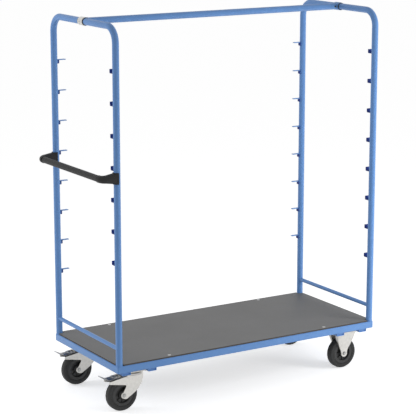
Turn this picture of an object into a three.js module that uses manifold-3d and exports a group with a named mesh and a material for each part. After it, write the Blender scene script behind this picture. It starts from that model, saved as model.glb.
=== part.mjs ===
// Shelf trolley: a steel deck frame with a board, a bent tube frame at each end with hooks
// for shelves, a tie tube across the top, a push handle and four casters.
// Millimetres, +Z up, floor at zero. X runs along the deck, and the handle is at its low end.
import * as THREE from 'three';
import { mergeVertices } from 'three/addons/utils/BufferGeometryUtils.js';
import Module from 'manifold-3d';

const wasm = await Module();
wasm.setup();

// Deck frame, board and the beams that carry the casters
const deckLength = 1500;
const deckWidth = 660;
const railHeight = 35;
const railTopFlange = 40;
const railLowFlange = 25;
const railWall = 4;
const boardThickness = 7;
const boardInset = 5;
const boardNotchGap = 1.5;
const boardScrewEndInset = 295;
const boardScrewSideInset = 25;
const boardScrewHeadRadius = 8;
const boardScrewHeadHeight = 2;
const boardScrewShankRadius = 3;
const boardScrewGrip = 5;
const beamWidth = 45;
const beamHeight = 15;
const beamWall = 3;
const beamEndInset = 5;
const beamPitch = 140;

// End frames of bent tube
const tubeDiameter = 32;
const tubeWall = 2;
const bendRadius = 75;
const endFrameHeight = 1598;
const crossRailDiameter = 20;
const crossRailHeight = 82;

// Hooks welded to the posts, the lowest at a height above the rails
const hookPitch = 150;
const lowHookHeight = 335;
const topHookRoom = 100;
const hookThickness = 4;
const backHookReach = 59.5;
const backHookWidth = 14;
const backHookLeg = 20;
const backHookLegThickness = 8;
const frontHookReach = 40;
const frontHookWidth = 23;
const frontHookUpstand = 20;
const leftFrontHooksLeftOut = 1;
const weldDepth = 1;

// Clamps at both ends of the tie tube
const clampWall = 4;
const clampWidth = 44;
const clampSplit = 1;
const tieStubLength = 26;
const tieScrewOffset = 30;
const tieScrewRadius = 3;
const tieScrewHeadRadius = 5;
const tieScrewHeadHeight = 3;
const tieScrewDepth = 9;

// Push handle
const handleHeight = 903;
const handleReach = 80;
const handleBarDiameter = 31;
const handleBarWall = 3;
const elbowDiameter = 35;
const elbowBend = 26;
const handleStubLength = 30;
const collarWall = 5;
const collarHeight = 54;
const armEndWidth = 38;

// Casters
const wheelRadius = 80;
const tyreWidth = 38;
const tyreShoulder = 7;
const tyreDepth = 22;
const rimWallThickness = 6;
const rimWebThickness = 10;
const hubRadius = 22;
const hubLength = 46;
const bearingRadius = 13;
const axleRadius = 6;
const axleHeadRadius = 10;
const axleHeadHeight = 5;
const casterHeadroom = 40;
const casterPlateLength = 140;
const casterPlateWidth = 110;
const casterPlateThickness = 4;
const casterSideInset = 95;
const swivelEndInset = 120;
const fixedEndInset = 133;
const trail = 52;
const raceRadius = 40;
const raceHeight = 6;
const forkWall = 4;
const forkInsideWidth = 50;
const crownRadius = 54;
const crownSkirtHeight = 11;
const bossRadius = 18;
const swivelBossRadius = 21;
const swivelBossReach = 10;
const swivelBossLift = 2;
const kingPinRadius = 6;
const kingPinHeadRadius = 13;
const kingPinHeadHeight = 7;
const fixedForkTopWidth = 100;
const fixedForkKneeHeight = 30;

// Total lock brake on the swivel casters
const brakePinRadius = 4;
const brakePinClearance = 1.5;
const brakeLeverThickness = 3;
const brakeEarRadius = 8;
const brakeEarGap = 1;
const brakeStepHeight = 4;
const brakeTipWidth = 64;
const brakeTipLength = 16;
const brakeLeverFall = 9;
const brakeLeverRise = 15;

// Outline of a swivel cheek: reach in crown radii from the pivot and height in wheel radii,
// then the arm over the wheel in wheel radii from the axle and from the floor
const cheekTopShares = [0.98, -0.43];
const cheekFrontShares = [[0.98, 2.05], [0.95, 1.91], [0.84, 1.67], [0.52, 1.325], [0.16, 1.12]];
const cheekArmShares = [[0.2, 1.62], [-0.98, 1.84], [-0.98, 1.98]];
const cheekPinRoomShare = 0.6;

// Places of the brake in wheel radii from the axle, and its ears in ear radii
const brakePinShare = 0.25;
const brakeBendShare = 0.95;
const brakeNeckShare = 1.17;
const brakeStepShares = [0.15, 0.62];
const brakeEarShare = 2.5;

// Outline of a fixed fork in plate lengths, with its shoulder in knee heights under the plate
const forkTopShare = 0.42;
const forkKneeShare = 0.25;
const forkShoulderShare = 0.37;
const forkShoulderDropShare = 0.6;

// Clearances and the overrun of every cut
const fitGap = 0.3;
const overrun = 10;

// Facets of round shapes
const tubeSides = 16;
const smallTubeSides = 12;
const wheelSides = 32;
const rimSides = 24;
const pinSides = 12;
const nutSides = 6;
const bendSteps = 6;

// Heights and places that follow from the sizes above
const casterHeight = 2 * wheelRadius + casterHeadroom;
const railBottom = casterHeight + beamHeight;
const railTop = railBottom + railHeight;
const boardTop = railTop + boardThickness;
const tubeRadius = tubeDiameter / 2;
const postX = deckLength / 2 - tubeRadius;
const postY = deckWidth / 2 - tubeRadius;
const topTubeZ = railTop + endFrameHeight;
const hookRoom = endFrameHeight - bendRadius - topHookRoom - lowHookHeight;
const hookLevels = Math.floor(hookRoom / hookPitch) + 1;
const clampInner = tubeRadius + fitGap;
const clampOuter = clampInner + clampWall;
const handleX = -postX - handleReach;
const handleZ = railTop + handleHeight;
const casterY = deckWidth / 2 - casterSideInset;
const swivelX = -deckLength / 2 + swivelEndInset;
const fixedX = deckLength / 2 - fixedEndInset;
const plateBottom = casterHeight - casterPlateThickness;
const crownTop = plateBottom - raceHeight - fitGap;
const crownBottom = crownTop - forkWall;
const forkOutside = forkInsideWidth + 2 * forkWall;
const leverInside = forkInsideWidth - 2 * brakeEarGap;
const brakePinX = brakePinShare * wheelRadius;
const brakePinZ = 2 * wheelRadius + brakePinRadius + brakePinClearance;

// The origin lies on the floor under the middle of the outline, handle and clamps included
const lowReach = Math.abs(handleX) + elbowDiameter / 2;
const highReach = Math.max(deckLength / 2, postX + clampOuter);
const originShift = (lowReach - highReach) / 2;

const finishes = {
  bluePaint: { color: 0x6c94cf, roughness: 0.4, metalness: 0.1 },
  greyBoard: { color: 0x777777, roughness: 0.7, metalness: 0 },
  zinc: { color: 0xd4d1cc, roughness: 0.35, metalness: 0.9 },
  blackPlastic: { color: 0x3c3c3c, roughness: 0.6, metalness: 0 },
  rubber: { color: 0x3a3a3a, roughness: 0.85, metalness: 0 },
};

const trolley = new THREE.Group();
trolley.position.x = originShift;

// A closed solid from a three.js geometry
function solid(geometry) {
  const bare = geometry.clone();
  bare.deleteAttribute('normal');
  bare.deleteAttribute('uv');
  const welded = mergeVertices(bare);
  const corners = welded.index.array;
  const kept = [];
  for (let i = 0; i < corners.length; i += 3) {
    const [a, b, c] = [corners[i], corners[i + 1], corners[i + 2]];
    if (a !== b && b !== c && c !== a) {
      kept.push(a, b, c);
    }
  }
  return new wasm.Manifold(new wasm.Mesh({
    numProp: 3,
    vertProperties: new Float32Array(welded.attributes.position.array),
    triVerts: new Uint32Array(kept),
  }));
}

// The joined solid of several
function joined(solids) {
  return solids.reduce((whole, next) => whole.add(next));
}

// One named piece of the trolley, in its own finish
function piece(name, shape, finish) {
  const mesh = shape.getMesh();
  const geometry = new THREE.BufferGeometry();
  geometry.setAttribute('position', new THREE.BufferAttribute(mesh.vertProperties, mesh.numProp));
  geometry.setIndex(new THREE.BufferAttribute(mesh.triVerts, 1));
  geometry.computeVertexNormals();
  const made = new THREE.Mesh(geometry, new THREE.MeshStandardMaterial(finish));
  made.name = name;
  trolley.add(made);
}

// A box between two corners
function block(low, high) {
  const size = high.map((value, i) => value - low[i]);
  const geometry = new THREE.BoxGeometry(...size);
  geometry.translate(...low.map((value, i) => value + size[i] / 2));
  return solid(geometry);
}

// An upright cylinder from one height to another; a cut is drawn round its radius
function upright(radius, x, y, low, high, sides = tubeSides, cut = false) {
  const corner = cut ? radius / Math.cos(Math.PI / sides) : radius;
  const geometry = new THREE.CylinderGeometry(corner, corner, high - low, sides);
  geometry.rotateX(Math.PI / 2);
  geometry.translate(x, y, (low + high) / 2);
  return solid(geometry);
}

// A cylinder along Y, the direction of the axles and the top tubes
function crosswise(radius, x, z, low, high, sides = tubeSides, cut = false) {
  const corner = cut ? radius / Math.cos(Math.PI / sides) : radius;
  const geometry = new THREE.CylinderGeometry(corner, corner, high - low, sides);
  geometry.translate(x, (low + high) / 2, z);
  return solid(geometry);
}

// A cylinder along X, the direction of the tie tube
function lengthwise(radius, y, z, low, high, sides = tubeSides, cut = false) {
  const corner = cut ? radius / Math.cos(Math.PI / sides) : radius;
  const geometry = new THREE.CylinderGeometry(corner, corner, high - low, sides);
  geometry.rotateZ(Math.PI / 2);
  geometry.translate((low + high) / 2, y, z);
  return solid(geometry);
}

// A plate with an outline in X and Z, from one Y to another, leaning by a slope above a height
function plateAcross(points, low, high, slope = 0, height = 0) {
  const outline = new THREE.Shape(points.map(([x, z]) => new THREE.Vector2(x, z)));
  const geometry = new THREE.ExtrudeGeometry(outline, { depth: high - low, bevelEnabled: false });
  geometry.rotateX(Math.PI / 2);
  geometry.translate(0, high, 0);
  const places = geometry.attributes.position;
  for (let i = 0; i < places.count; i += 1) {
    places.setY(i, places.getY(i) + slope * (places.getZ(i) - height));
  }
  return solid(geometry);
}

// A ring turned about an axle at x and y, from its closed profile of radius and Y
function turned(profile, x, y, sides) {
  const points = profile.map(([radius, along]) => new THREE.Vector2(radius, along));
  points.push(points[0].clone());
  const geometry = new THREE.LatheGeometry(points, sides);
  geometry.rotateY(Math.PI / sides);
  geometry.translate(x, y, wheelRadius);
  return solid(geometry);
}

// Points of an arc in a plane, both ends included
function arc(centreX, centreZ, radius, from, to, steps) {
  const points = [];
  for (let i = 0; i <= steps; i += 1) {
    const angle = from + (to - from) * i / steps;
    points.push([centreX + radius * Math.cos(angle), centreZ + radius * Math.sin(angle)]);
  }
  return points;
}

// A route with a station only where the tube needs one
class TubeRoute extends THREE.Curve {
  constructor(stations) {
    super();
    this.stations = stations;
  }
  getUtoTmapping(u) {
    return u;
  }
  between(t) {
    const place = t * (this.stations.length - 1);
    const i = Math.min(Math.floor(place), this.stations.length - 2);
    return [this.stations[i], this.stations[i + 1], place - i];
  }
  getPoint(t, target = new THREE.Vector3()) {
    const [a, b, share] = this.between(t);
    return target.copy(a.point).lerp(b.point, share);
  }
  getTangent(t, target = new THREE.Vector3()) {
    const [a, b, share] = this.between(t);
    return target.copy(a.tangent).lerp(b.tangent, share).normalize();
  }
}

// A round tube along stations, hollow when it has a wall
function tubeAlong(stations, radius, wall, sides) {
  const shape = new THREE.Shape();
  shape.absarc(0, 0, radius, 0, 2 * Math.PI);
  if (wall) {
    const bore = new THREE.Path();
    bore.absarc(0, 0, radius - wall, 0, 2 * Math.PI, true);
    shape.holes.push(bore);
  }
  return solid(new THREE.ExtrudeGeometry(shape, {
    steps: stations.length - 1,
    curveSegments: sides / 2,
    extrudePath: new TubeRoute(stations),
  }));
}

// Stations round a quarter bend, from one direction into another
function bend(centre, radius, from, into, steps) {
  const stations = [];
  for (let i = 0; i <= steps; i += 1) {
    const angle = Math.PI / 2 * i / steps;
    const tangent = from.clone().multiplyScalar(Math.cos(angle)).addScaledVector(into, Math.sin(angle));
    const outward = from.clone().multiplyScalar(Math.sin(angle)).addScaledVector(into, -Math.cos(angle));
    stations.push({ point: centre.clone().addScaledVector(outward, radius), tangent });
  }
  return stations;
}

// Half the bent tube of one end: up the post at the side of y and over to the middle
function endTube(x, side) {
  const up = new THREE.Vector3(0, 0, 1);
  const across = new THREE.Vector3(0, -side, 0);
  const centre = new THREE.Vector3(x, side * (postY - bendRadius), topTubeZ - bendRadius);
  const stations = [
    { point: new THREE.Vector3(x, side * postY, railTop), tangent: up },
    ...bend(centre, bendRadius, up, across, bendSteps),
    { point: new THREE.Vector3(x, 0, topTubeZ), tangent: across },
  ];
  return tubeAlong(stations, tubeRadius, tubeWall, tubeSides);
}

// An angle on a back post: a leg on the tube and a tongue towards the middle of the deck
function backHook(x, inward, z) {
  const root = x + inward * (tubeRadius - weldDepth);
  const legFace = x + inward * (tubeRadius + backHookLegThickness);
  const tip = x + inward * backHookReach;
  const sides = [postY - backHookWidth / 2, postY + backHookWidth / 2];
  const leg = block(
    [Math.min(root, legFace), sides[0], z - backHookLeg],
    [Math.max(root, legFace), sides[1], z],
  );
  const tongue = block(
    [Math.min(root, tip), sides[0], z - hookThickness],
    [Math.max(root, tip), sides[1], z],
  );
  return leg.add(tongue);
}

// A hook on a front post: an arm towards the back and an upstand at its end
function frontHook(x, z) {
  const sides = [x - frontHookWidth / 2, x + frontHookWidth / 2];
  const root = -postY + tubeRadius - weldDepth;
  const end = -postY + frontHookReach;
  const arm = block([sides[0], root, z], [sides[1], end, z + hookThickness]);
  const upstand = block([sides[0], end - hookThickness, z], [sides[1], end, z + frontHookUpstand]);
  return arm.add(upstand);
}

// The heights of the hooks, with as many levels as the post has room for
function hookHeights() {
  return Array.from({ length: hookLevels }, (_, level) => railTop + lowHookHeight + level * hookPitch);
}

// The front and back halves of an end frame, which meet under the clamp of the tie tube
function endFrame(end, x, inward, frontLeftOut) {
  const frontHooks = hookHeights().slice(frontLeftOut).map((z) => frontHook(x, z));
  const backHooks = hookHeights().map((z) => backHook(x, inward, z));
  piece(`front_${end}_frame`, joined([endTube(x, -1), ...frontHooks]), finishes.bluePaint);
  piece(`back_${end}_frame`, joined([endTube(x, 1), ...backHooks]), finishes.bluePaint);
}

// The low rail of an end frame, coped to both posts
function crossRail(name, x) {
  const z = railTop + crossRailHeight;
  const radius = crossRailDiameter / 2;
  const tube = crosswise(radius, x, z, -postY, postY, smallTubeSides)
    .subtract(crosswise(radius - tubeWall, x, z, -deckWidth, deckWidth, smallTubeSides));
  const posts = [-postY, postY].map((y) => (
    upright(tubeRadius + fitGap, x, y, z - crossRailDiameter, z + crossRailDiameter, tubeSides, true)
  ));
  piece(name, tube.subtract(joined(posts)), finishes.bluePaint);
}

// A channel section rail with mitred ends, its web outside and its wider flange on top
function deckRail(name, length, quarterTurns, offset, screws) {
  const section = new THREE.Shape([
    new THREE.Vector2(0, 0),
    new THREE.Vector2(railLowFlange, 0),
    new THREE.Vector2(railLowFlange, railWall),
    new THREE.Vector2(railWall, railWall),
    new THREE.Vector2(railWall, railHeight - railWall),
    new THREE.Vector2(railTopFlange, railHeight - railWall),
    new THREE.Vector2(railTopFlange, railHeight),
    new THREE.Vector2(0, railHeight),
  ]);
  const geometry = new THREE.ExtrudeGeometry(section, { depth: length, bevelEnabled: false });
  const places = geometry.attributes.position;
  for (let i = 0; i < places.count; i += 1) {
    const depth = places.getX(i);
    const along = places.getZ(i) > length / 2 ? length - depth - fitGap : depth + fitGap;
    places.setXYZ(i, along - length / 2, depth - offset, places.getY(i) + railBottom);
  }
  geometry.rotateZ(quarterTurns * Math.PI / 2);
  const holes = screws.map(([, x, y]) => upright(
    boardScrewShankRadius + fitGap, x, y, railTop - overrun, railTop + overrun, pinSides, true,
  ));
  const rail = holes.reduce((whole, hole) => whole.subtract(hole), solid(geometry));
  piece(name, rail, finishes.bluePaint);
}

// The places of the board screws, with the names of their corners
function boardScrewPlaces() {
  const x = deckLength / 2 - boardScrewEndInset;
  const y = deckWidth / 2 - boardScrewSideInset;
  return [['front_left', -x, -y], ['front_right', x, -y], ['back_left', -x, y], ['back_right', x, y]];
}

function deckRails() {
  const screws = boardScrewPlaces();
  deckRail('front_rail', deckLength, 0, deckWidth / 2, screws.filter(([, , y]) => y < 0));
  deckRail('right_rail', deckWidth, 1, deckLength / 2, []);
  deckRail('back_rail', deckLength, 2, deckWidth / 2, screws.filter(([, , y]) => y > 0));
  deckRail('left_rail', deckWidth, 3, deckLength / 2, []);
}

// A flat rectangular tube under the rails, open at both ends
function casterBeam(name, x) {
  const half = deckWidth / 2 - beamEndInset;
  const outside = block([x - beamWidth / 2, -half, casterHeight], [x + beamWidth / 2, half, railBottom]);
  const inside = block(
    [x - beamWidth / 2 + beamWall, -half - overrun, casterHeight + beamWall],
    [x + beamWidth / 2 - beamWall, half + overrun, railBottom - beamWall],
  );
  piece(name, outside.subtract(inside), finishes.bluePaint);
}

function casterBeams() {
  casterBeam('left_outer_beam', swivelX - beamPitch / 2);
  casterBeam('left_inner_beam', swivelX + beamPitch / 2);
  casterBeam('right_inner_beam', fixedX - beamPitch / 2);
  casterBeam('right_outer_beam', fixedX + beamPitch / 2);
}

function deckBoard() {
  const halfLength = deckLength / 2 - boardInset;
  const halfWidth = deckWidth / 2 - boardInset;
  const cuts = [];
  for (const x of [-postX, postX]) {
    for (const y of [-postY, postY]) {
      const reach = tubeRadius + boardNotchGap;
      const outerX = Math.sign(x) * (deckLength / 2 + overrun);
      const outerY = Math.sign(y) * (deckWidth / 2 + overrun);
      const innerX = x - Math.sign(x) * reach;
      const innerY = y - Math.sign(y) * reach;
      cuts.push(block(
        [Math.min(innerX, outerX), Math.min(innerY, outerY), railTop - overrun],
        [Math.max(innerX, outerX), Math.max(innerY, outerY), boardTop + overrun],
      ));
    }
  }
  for (const [, x, y] of boardScrewPlaces()) {
    const shank = boardScrewShankRadius + fitGap;
    const head = boardScrewHeadRadius + fitGap;
    cuts.push(upright(shank, x, y, railTop - overrun, boardTop + overrun, pinSides, true));
    cuts.push(upright(head, x, y, boardTop - boardScrewHeadHeight, boardTop + overrun, pinSides, true));
  }
  const board = block([-halfLength, -halfWidth, railTop], [halfLength, halfWidth, boardTop]);
  piece('deck_board', board.subtract(joined(cuts)), finishes.greyBoard);
}

// Screws with heads sunk flush into the board
function boardScrews() {
  const shankEnd = railTop - railWall - boardScrewGrip;
  for (const [corner, x, y] of boardScrewPlaces()) {
    const head = upright(boardScrewHeadRadius, x, y, boardTop - boardScrewHeadHeight, boardTop, pinSides);
    const shank = upright(boardScrewShankRadius, x, y, shankEnd, boardTop, pinSides);
    piece(`${corner}_board_screw`, head.add(shank), finishes.zinc);
  }
}

// Half a ring round a top tube; side is +1 for the half at higher X
function halfRing(x, side) {
  const width = clampWidth / 2;
  const ring = crosswise(clampOuter, x, topTubeZ, -width, width)
    .subtract(crosswise(clampInner, x, topTubeZ, -width - overrun, width + overrun, tubeSides, true));
  const face = x + side * clampSplit / 2;
  const away = x - side * deckWidth;
  const half = block(
    [Math.min(face, away), -deckWidth, topTubeZ - deckWidth],
    [Math.max(face, away), deckWidth, topTubeZ + deckWidth],
  );
  return ring.subtract(half);
}

// A clamp of a saddle with a stub in the tie tube, a strap on the far side and a screw
function tieClamp(name, x, inward) {
  const stubRadius = tubeRadius - tubeWall - fitGap;
  const stubEnd = x + inward * (clampOuter + tieStubLength);
  const stub = lengthwise(stubRadius, 0, topTubeZ, Math.min(x, stubEnd), Math.max(x, stubEnd))
    .subtract(crosswise(clampInner, x, topTubeZ, -clampWidth, clampWidth, tubeSides, true));
  const screwX = x + inward * tieScrewOffset;
  const screwHole = crosswise(
    tieScrewRadius + fitGap, screwX, topTubeZ,
    -tubeDiameter, -tubeRadius + tieScrewDepth + overrun / 2, pinSides, true,
  );
  piece(`${name}_tie_saddle`, halfRing(x, inward).add(stub).subtract(screwHole), finishes.bluePaint);
  piece(`${name}_tie_strap`, halfRing(x, -inward), finishes.zinc);
  const head = crosswise(
    tieScrewHeadRadius, screwX, topTubeZ,
    -tubeRadius - tieScrewHeadHeight, -tubeRadius, pinSides,
  );
  const shank = crosswise(
    tieScrewRadius, screwX, topTubeZ,
    -tubeRadius - tieScrewHeadHeight, -tubeRadius + tieScrewDepth, pinSides,
  );
  piece(`${name}_tie_screw`, head.add(shank), finishes.zinc);
}

function tieTube() {
  const tube = lengthwise(tubeRadius, 0, topTubeZ, -postX, postX)
    .subtract(lengthwise(tubeRadius - tubeWall, 0, topTubeZ, -deckLength, deckLength));
  const cuts = [];
  for (const x of [-postX, postX]) {
    cuts.push(crosswise(clampOuter + fitGap, x, topTubeZ, -clampWidth, clampWidth, tubeSides, true));
    const screwX = x - Math.sign(x) * tieScrewOffset;
    cuts.push(crosswise(tieScrewRadius + fitGap, screwX, topTubeZ, -tubeDiameter, 0, pinSides, true));
  }
  piece('tie_tube', tube.subtract(joined(cuts)), finishes.bluePaint);
}

// Room in a collar for the arm of a hook at the same height
function hookNotch(y, z) {
  const side = frontHookWidth / 2 + fitGap;
  return block(
    [-postX - side, y + tubeRadius, z - fitGap],
    [-postX + side, y + frontHookReach + overrun, z + hookThickness + fitGap],
  );
}

// The end of the push handle: a collar on the post, a flared arm and an elbow with a stub
function handleBracket(name, side) {
  const y = side * postY;
  const elbowRadius = elbowDiameter / 2;
  const out = new THREE.Vector3(-1, 0, 0);
  const along = new THREE.Vector3(0, -side, 0);
  const armEnd = handleX + elbowBend;
  const elbow = tubeAlong(
    bend(new THREE.Vector3(armEnd, y - side * elbowBend, handleZ), elbowBend, out, along, bendSteps),
    elbowRadius, 0, smallTubeSides,
  );
  const elbowFace = y - side * elbowBend;
  const stubEnd = elbowFace - side * handleStubLength;
  const stubRadius = handleBarDiameter / 2 - handleBarWall - fitGap;
  const stub = crosswise(
    stubRadius, handleX, handleZ, Math.min(elbowFace, stubEnd), Math.max(elbowFace, stubEnd), smallTubeSides,
  );
  const armLength = -postX - armEnd;
  const arm = new THREE.CylinderGeometry(collarHeight / 2, elbowRadius, armLength, tubeSides);
  arm.rotateZ(-Math.PI / 2);
  arm.scale(1, armEndWidth / collarHeight, 1);
  arm.translate(armEnd + armLength / 2, y, handleZ);
  const low = handleZ - collarHeight / 2;
  const high = handleZ + collarHeight / 2;
  const collar = upright(tubeRadius + fitGap + collarWall, -postX, y, low, high);
  const post = upright(tubeRadius + fitGap, -postX, y, low - overrun, high + overrun, tubeSides, true);
  const inside = block(
    [-postX, y - collarHeight, low - overrun],
    [-postX + collarHeight, y + collarHeight, high + overrun],
  );
  const cuts = joined([post, inside, ...hookHeights().map((z) => hookNotch(y, z))]);
  piece(name, joined([elbow, stub, solid(arm), collar]).subtract(cuts), finishes.blackPlastic);
}

function handleBar() {
  const half = postY - elbowBend - fitGap;
  const bar = crosswise(handleBarDiameter / 2, handleX, handleZ, -half, half)
    .subtract(crosswise(
      handleBarDiameter / 2 - handleBarWall, handleX, handleZ, -half - overrun, half + overrun,
    ));
  piece('handle_bar', bar, finishes.blackPlastic);
}

// A wheel of a tyre, a rim with its hub and a bearing, about an axle at x and y
function wheel(name, x, y) {
  const roundShare = 1 / Math.cos(Math.PI / wheelSides);
  const rimRoundShare = 1 / Math.cos(Math.PI / rimSides);
  const halfTyre = tyreWidth / 2;
  const inner = wheelRadius - tyreDepth;
  const shoulder = wheelRadius - tyreShoulder;
  const tyre = turned([
    [inner, -halfTyre],
    [shoulder, -halfTyre],
    [wheelRadius * roundShare, -halfTyre + tyreShoulder],
    [wheelRadius * roundShare, halfTyre - tyreShoulder],
    [shoulder, halfTyre],
    [inner, halfTyre],
  ], x, y, wheelSides);
  piece(`${name}_tyre`, tyre, finishes.rubber);

  const rimOuter = inner * Math.cos(Math.PI / wheelSides) - fitGap;
  const rimInner = rimOuter - rimWallThickness;
  const rimBore = bearingRadius + fitGap;
  const halfWeb = rimWebThickness / 2;
  const halfHub = hubLength / 2;
  const rim = turned([
    [rimBore * rimRoundShare, -halfHub],
    [hubRadius, -halfHub],
    [hubRadius, -halfWeb],
    [rimInner, -halfWeb],
    [rimInner, -halfTyre],
    [rimOuter, -halfTyre],
    [rimOuter, halfTyre],
    [rimInner, halfTyre],
    [rimInner, halfWeb],
    [hubRadius, halfWeb],
    [hubRadius, halfHub],
    [rimBore * rimRoundShare, halfHub],
  ], x, y, rimSides);
  piece(`${name}_rim`, rim, finishes.blackPlastic);

  const bore = crosswise(axleRadius + fitGap, x, wheelRadius, y - hubLength, y + hubLength, pinSides, true);
  const bearing = crosswise(bearingRadius, x, wheelRadius, y - halfHub, y + halfHub, tubeSides)
    .subtract(bore);
  piece(`${name}_bearing`, bearing, finishes.zinc);
}

// An axle bolt with a head and a nut outside the fork
function axle(name, x, y) {
  const half = forkOutside / 2;
  const shank = crosswise(
    axleRadius, x, wheelRadius, y - half - axleHeadHeight, y + half + axleHeadHeight, pinSides,
  );
  const heads = [-1, 1].map((side) => {
    const faces = [y + side * half, y + side * (half + axleHeadHeight)].sort((a, b) => a - b);
    return crosswise(axleHeadRadius, x, wheelRadius, faces[0], faces[1], nutSides);
  });
  piece(`${name}_axle`, joined([shank, ...heads]), finishes.zinc);
}

// One cheek's outline: a leg to the axle, and an arm back over the wheel for the brake
function swivelCheek(x) {
  const pivot = x + trail;
  const bossX = x + swivelBossReach;
  const bossZ = wheelRadius + swivelBossLift;
  const boss = arc(bossX, bossZ, swivelBossRadius, -Math.PI / 4, -Math.PI, bendSteps);
  const [topFront, topBack] = cheekTopShares.map((share) => [pivot + share * crownRadius, crownTop]);
  const front = cheekFrontShares.map(([reach, height]) => [
    pivot + reach * crownRadius, height * wheelRadius,
  ]);
  const arm = cheekArmShares.map(([reach, height]) => [x + reach * wheelRadius, height * wheelRadius]);
  return [
    topFront,
    ...front,
    ...boss,
    ...arm,
    [x, brakePinZ + cheekPinRoomShare * brakeEarRadius],
    [x + brakePinX, brakePinZ + brakeEarRadius],
    topBack,
  ];
}

function swivelFork(name, x, y) {
  const pivot = x + trail;
  const half = forkInsideWidth / 2;
  const ends = [y - forkOutside, y + forkOutside];
  const outline = swivelCheek(x);
  const front = plateAcross(outline, y - half - forkWall, y - half);
  const back = plateAcross(outline, y + half, y + half + forkWall);
  const skirtBottom = crownTop - crownSkirtHeight;
  const hollow = upright(crownRadius - forkWall, pivot, y, skirtBottom - overrun, crownBottom);
  const crown = upright(crownRadius, pivot, y, skirtBottom, crownTop).subtract(hollow);
  const cuts = joined([
    upright(kingPinRadius + fitGap, pivot, y, crownBottom - overrun, crownTop + overrun, pinSides, true),
    crosswise(axleRadius + fitGap, x, wheelRadius, ...ends, pinSides, true),
    crosswise(brakePinRadius + fitGap, x + brakePinX, brakePinZ, ...ends, pinSides, true),
  ]);
  piece(`${name}_fork`, joined([front, back, crown]).subtract(cuts), finishes.zinc);
}

// The plate with its bearing race under the beams, and the pin that the fork turns on
function swivelHead(name, pivot, y) {
  const plate = block(
    [pivot - casterPlateLength / 2, y - casterPlateWidth / 2, plateBottom],
    [pivot + casterPlateLength / 2, y + casterPlateWidth / 2, casterHeight],
  );
  const race = upright(raceRadius, pivot, y, plateBottom - raceHeight, casterHeight);
  const bore = upright(
    kingPinRadius + fitGap, pivot, y, crownBottom, casterHeight + overrun, pinSides, true,
  );
  piece(`${name}_caster_plate`, plate.add(race).subtract(bore), finishes.zinc);

  const headTop = crownBottom - fitGap;
  const pin = upright(kingPinRadius, pivot, y, headTop - kingPinHeadHeight, casterHeight, pinSides)
    .add(upright(kingPinHeadRadius, pivot, y, headTop - kingPinHeadHeight, headTop, nutSides));
  piece(`${name}_king_pin`, pin, finishes.zinc);
}

// The foot lever of the brake, which falls to a bend and rises to its tip, the step on it
// and the pin that it turns on
function brake(name, x, y) {
  const pinX = x + brakePinX;
  const half = forkOutside / 2;
  const pin = crosswise(brakePinRadius, pinX, brakePinZ, y - half, y + half, pinSides);
  piece(`${name}_brake_pin`, pin, finishes.zinc);

  const bend = x - brakeBendShare * wheelRadius;
  const neckEnd = x - brakeNeckShare * wheelRadius;
  const tip = neckEnd - brakeTipLength;
  const rootZ = brakePinZ + brakeEarRadius;
  const bendZ = rootZ - brakeLeverFall;
  const neckSide = leverInside / 2;
  const tipSide = brakeTipWidth / 2;
  const fallAt = (place) => rootZ - brakeLeverFall * (pinX - place) / (pinX - bend);
  const riseAt = (place) => bendZ + brakeLeverRise * (bend - place) / (bend - tip);
  const lowAt = (place) => (place > bend ? fallAt(place) : riseAt(place));
  const strip = (places, lift, thickness) => [
    ...places.map((place) => [place, lowAt(place) + lift]),
    ...places.toReversed().map((place) => [place, lowAt(place) + lift + thickness]),
  ];
  const neckStrip = strip([pinX, bend, neckEnd], 0, brakeLeverThickness);
  const footStrip = strip([neckEnd, tip], 0, brakeLeverThickness);
  const neck = plateAcross(neckStrip, y - neckSide, y + neckSide);
  const foot = plateAcross(footStrip, y - tipSide, y + tipSide);
  const earEnd = pinX - brakeEarShare * brakeEarRadius;
  const earOutline = [
    ...arc(pinX, brakePinZ, brakeEarRadius, 0, -Math.PI, bendSteps),
    [earEnd, lowAt(earEnd) + brakeLeverThickness],
    [pinX, lowAt(pinX) + brakeLeverThickness],
  ];
  const ears = [-1, 1].map((side) => {
    const faces = [side * neckSide, side * (neckSide - brakeLeverThickness)].sort((a, b) => a - b);
    return plateAcross(earOutline, y + faces[0], y + faces[1]);
  });
  const bore = crosswise(brakePinRadius + fitGap, pinX, brakePinZ, y - half, y + half, pinSides, true);
  piece(`${name}_brake_lever`, joined([neck, foot, ...ears]).subtract(bore), finishes.zinc);

  const stepPlaces = brakeStepShares.map((share) => x - share * wheelRadius);
  const stepSide = neckSide - brakeLeverThickness;
  const stepStrip = strip(stepPlaces, brakeLeverThickness + fitGap, brakeStepHeight);
  piece(`${name}_brake_tread`, plateAcross(stepStrip, y - stepSide, y + stepSide), finishes.zinc);
}

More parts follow.
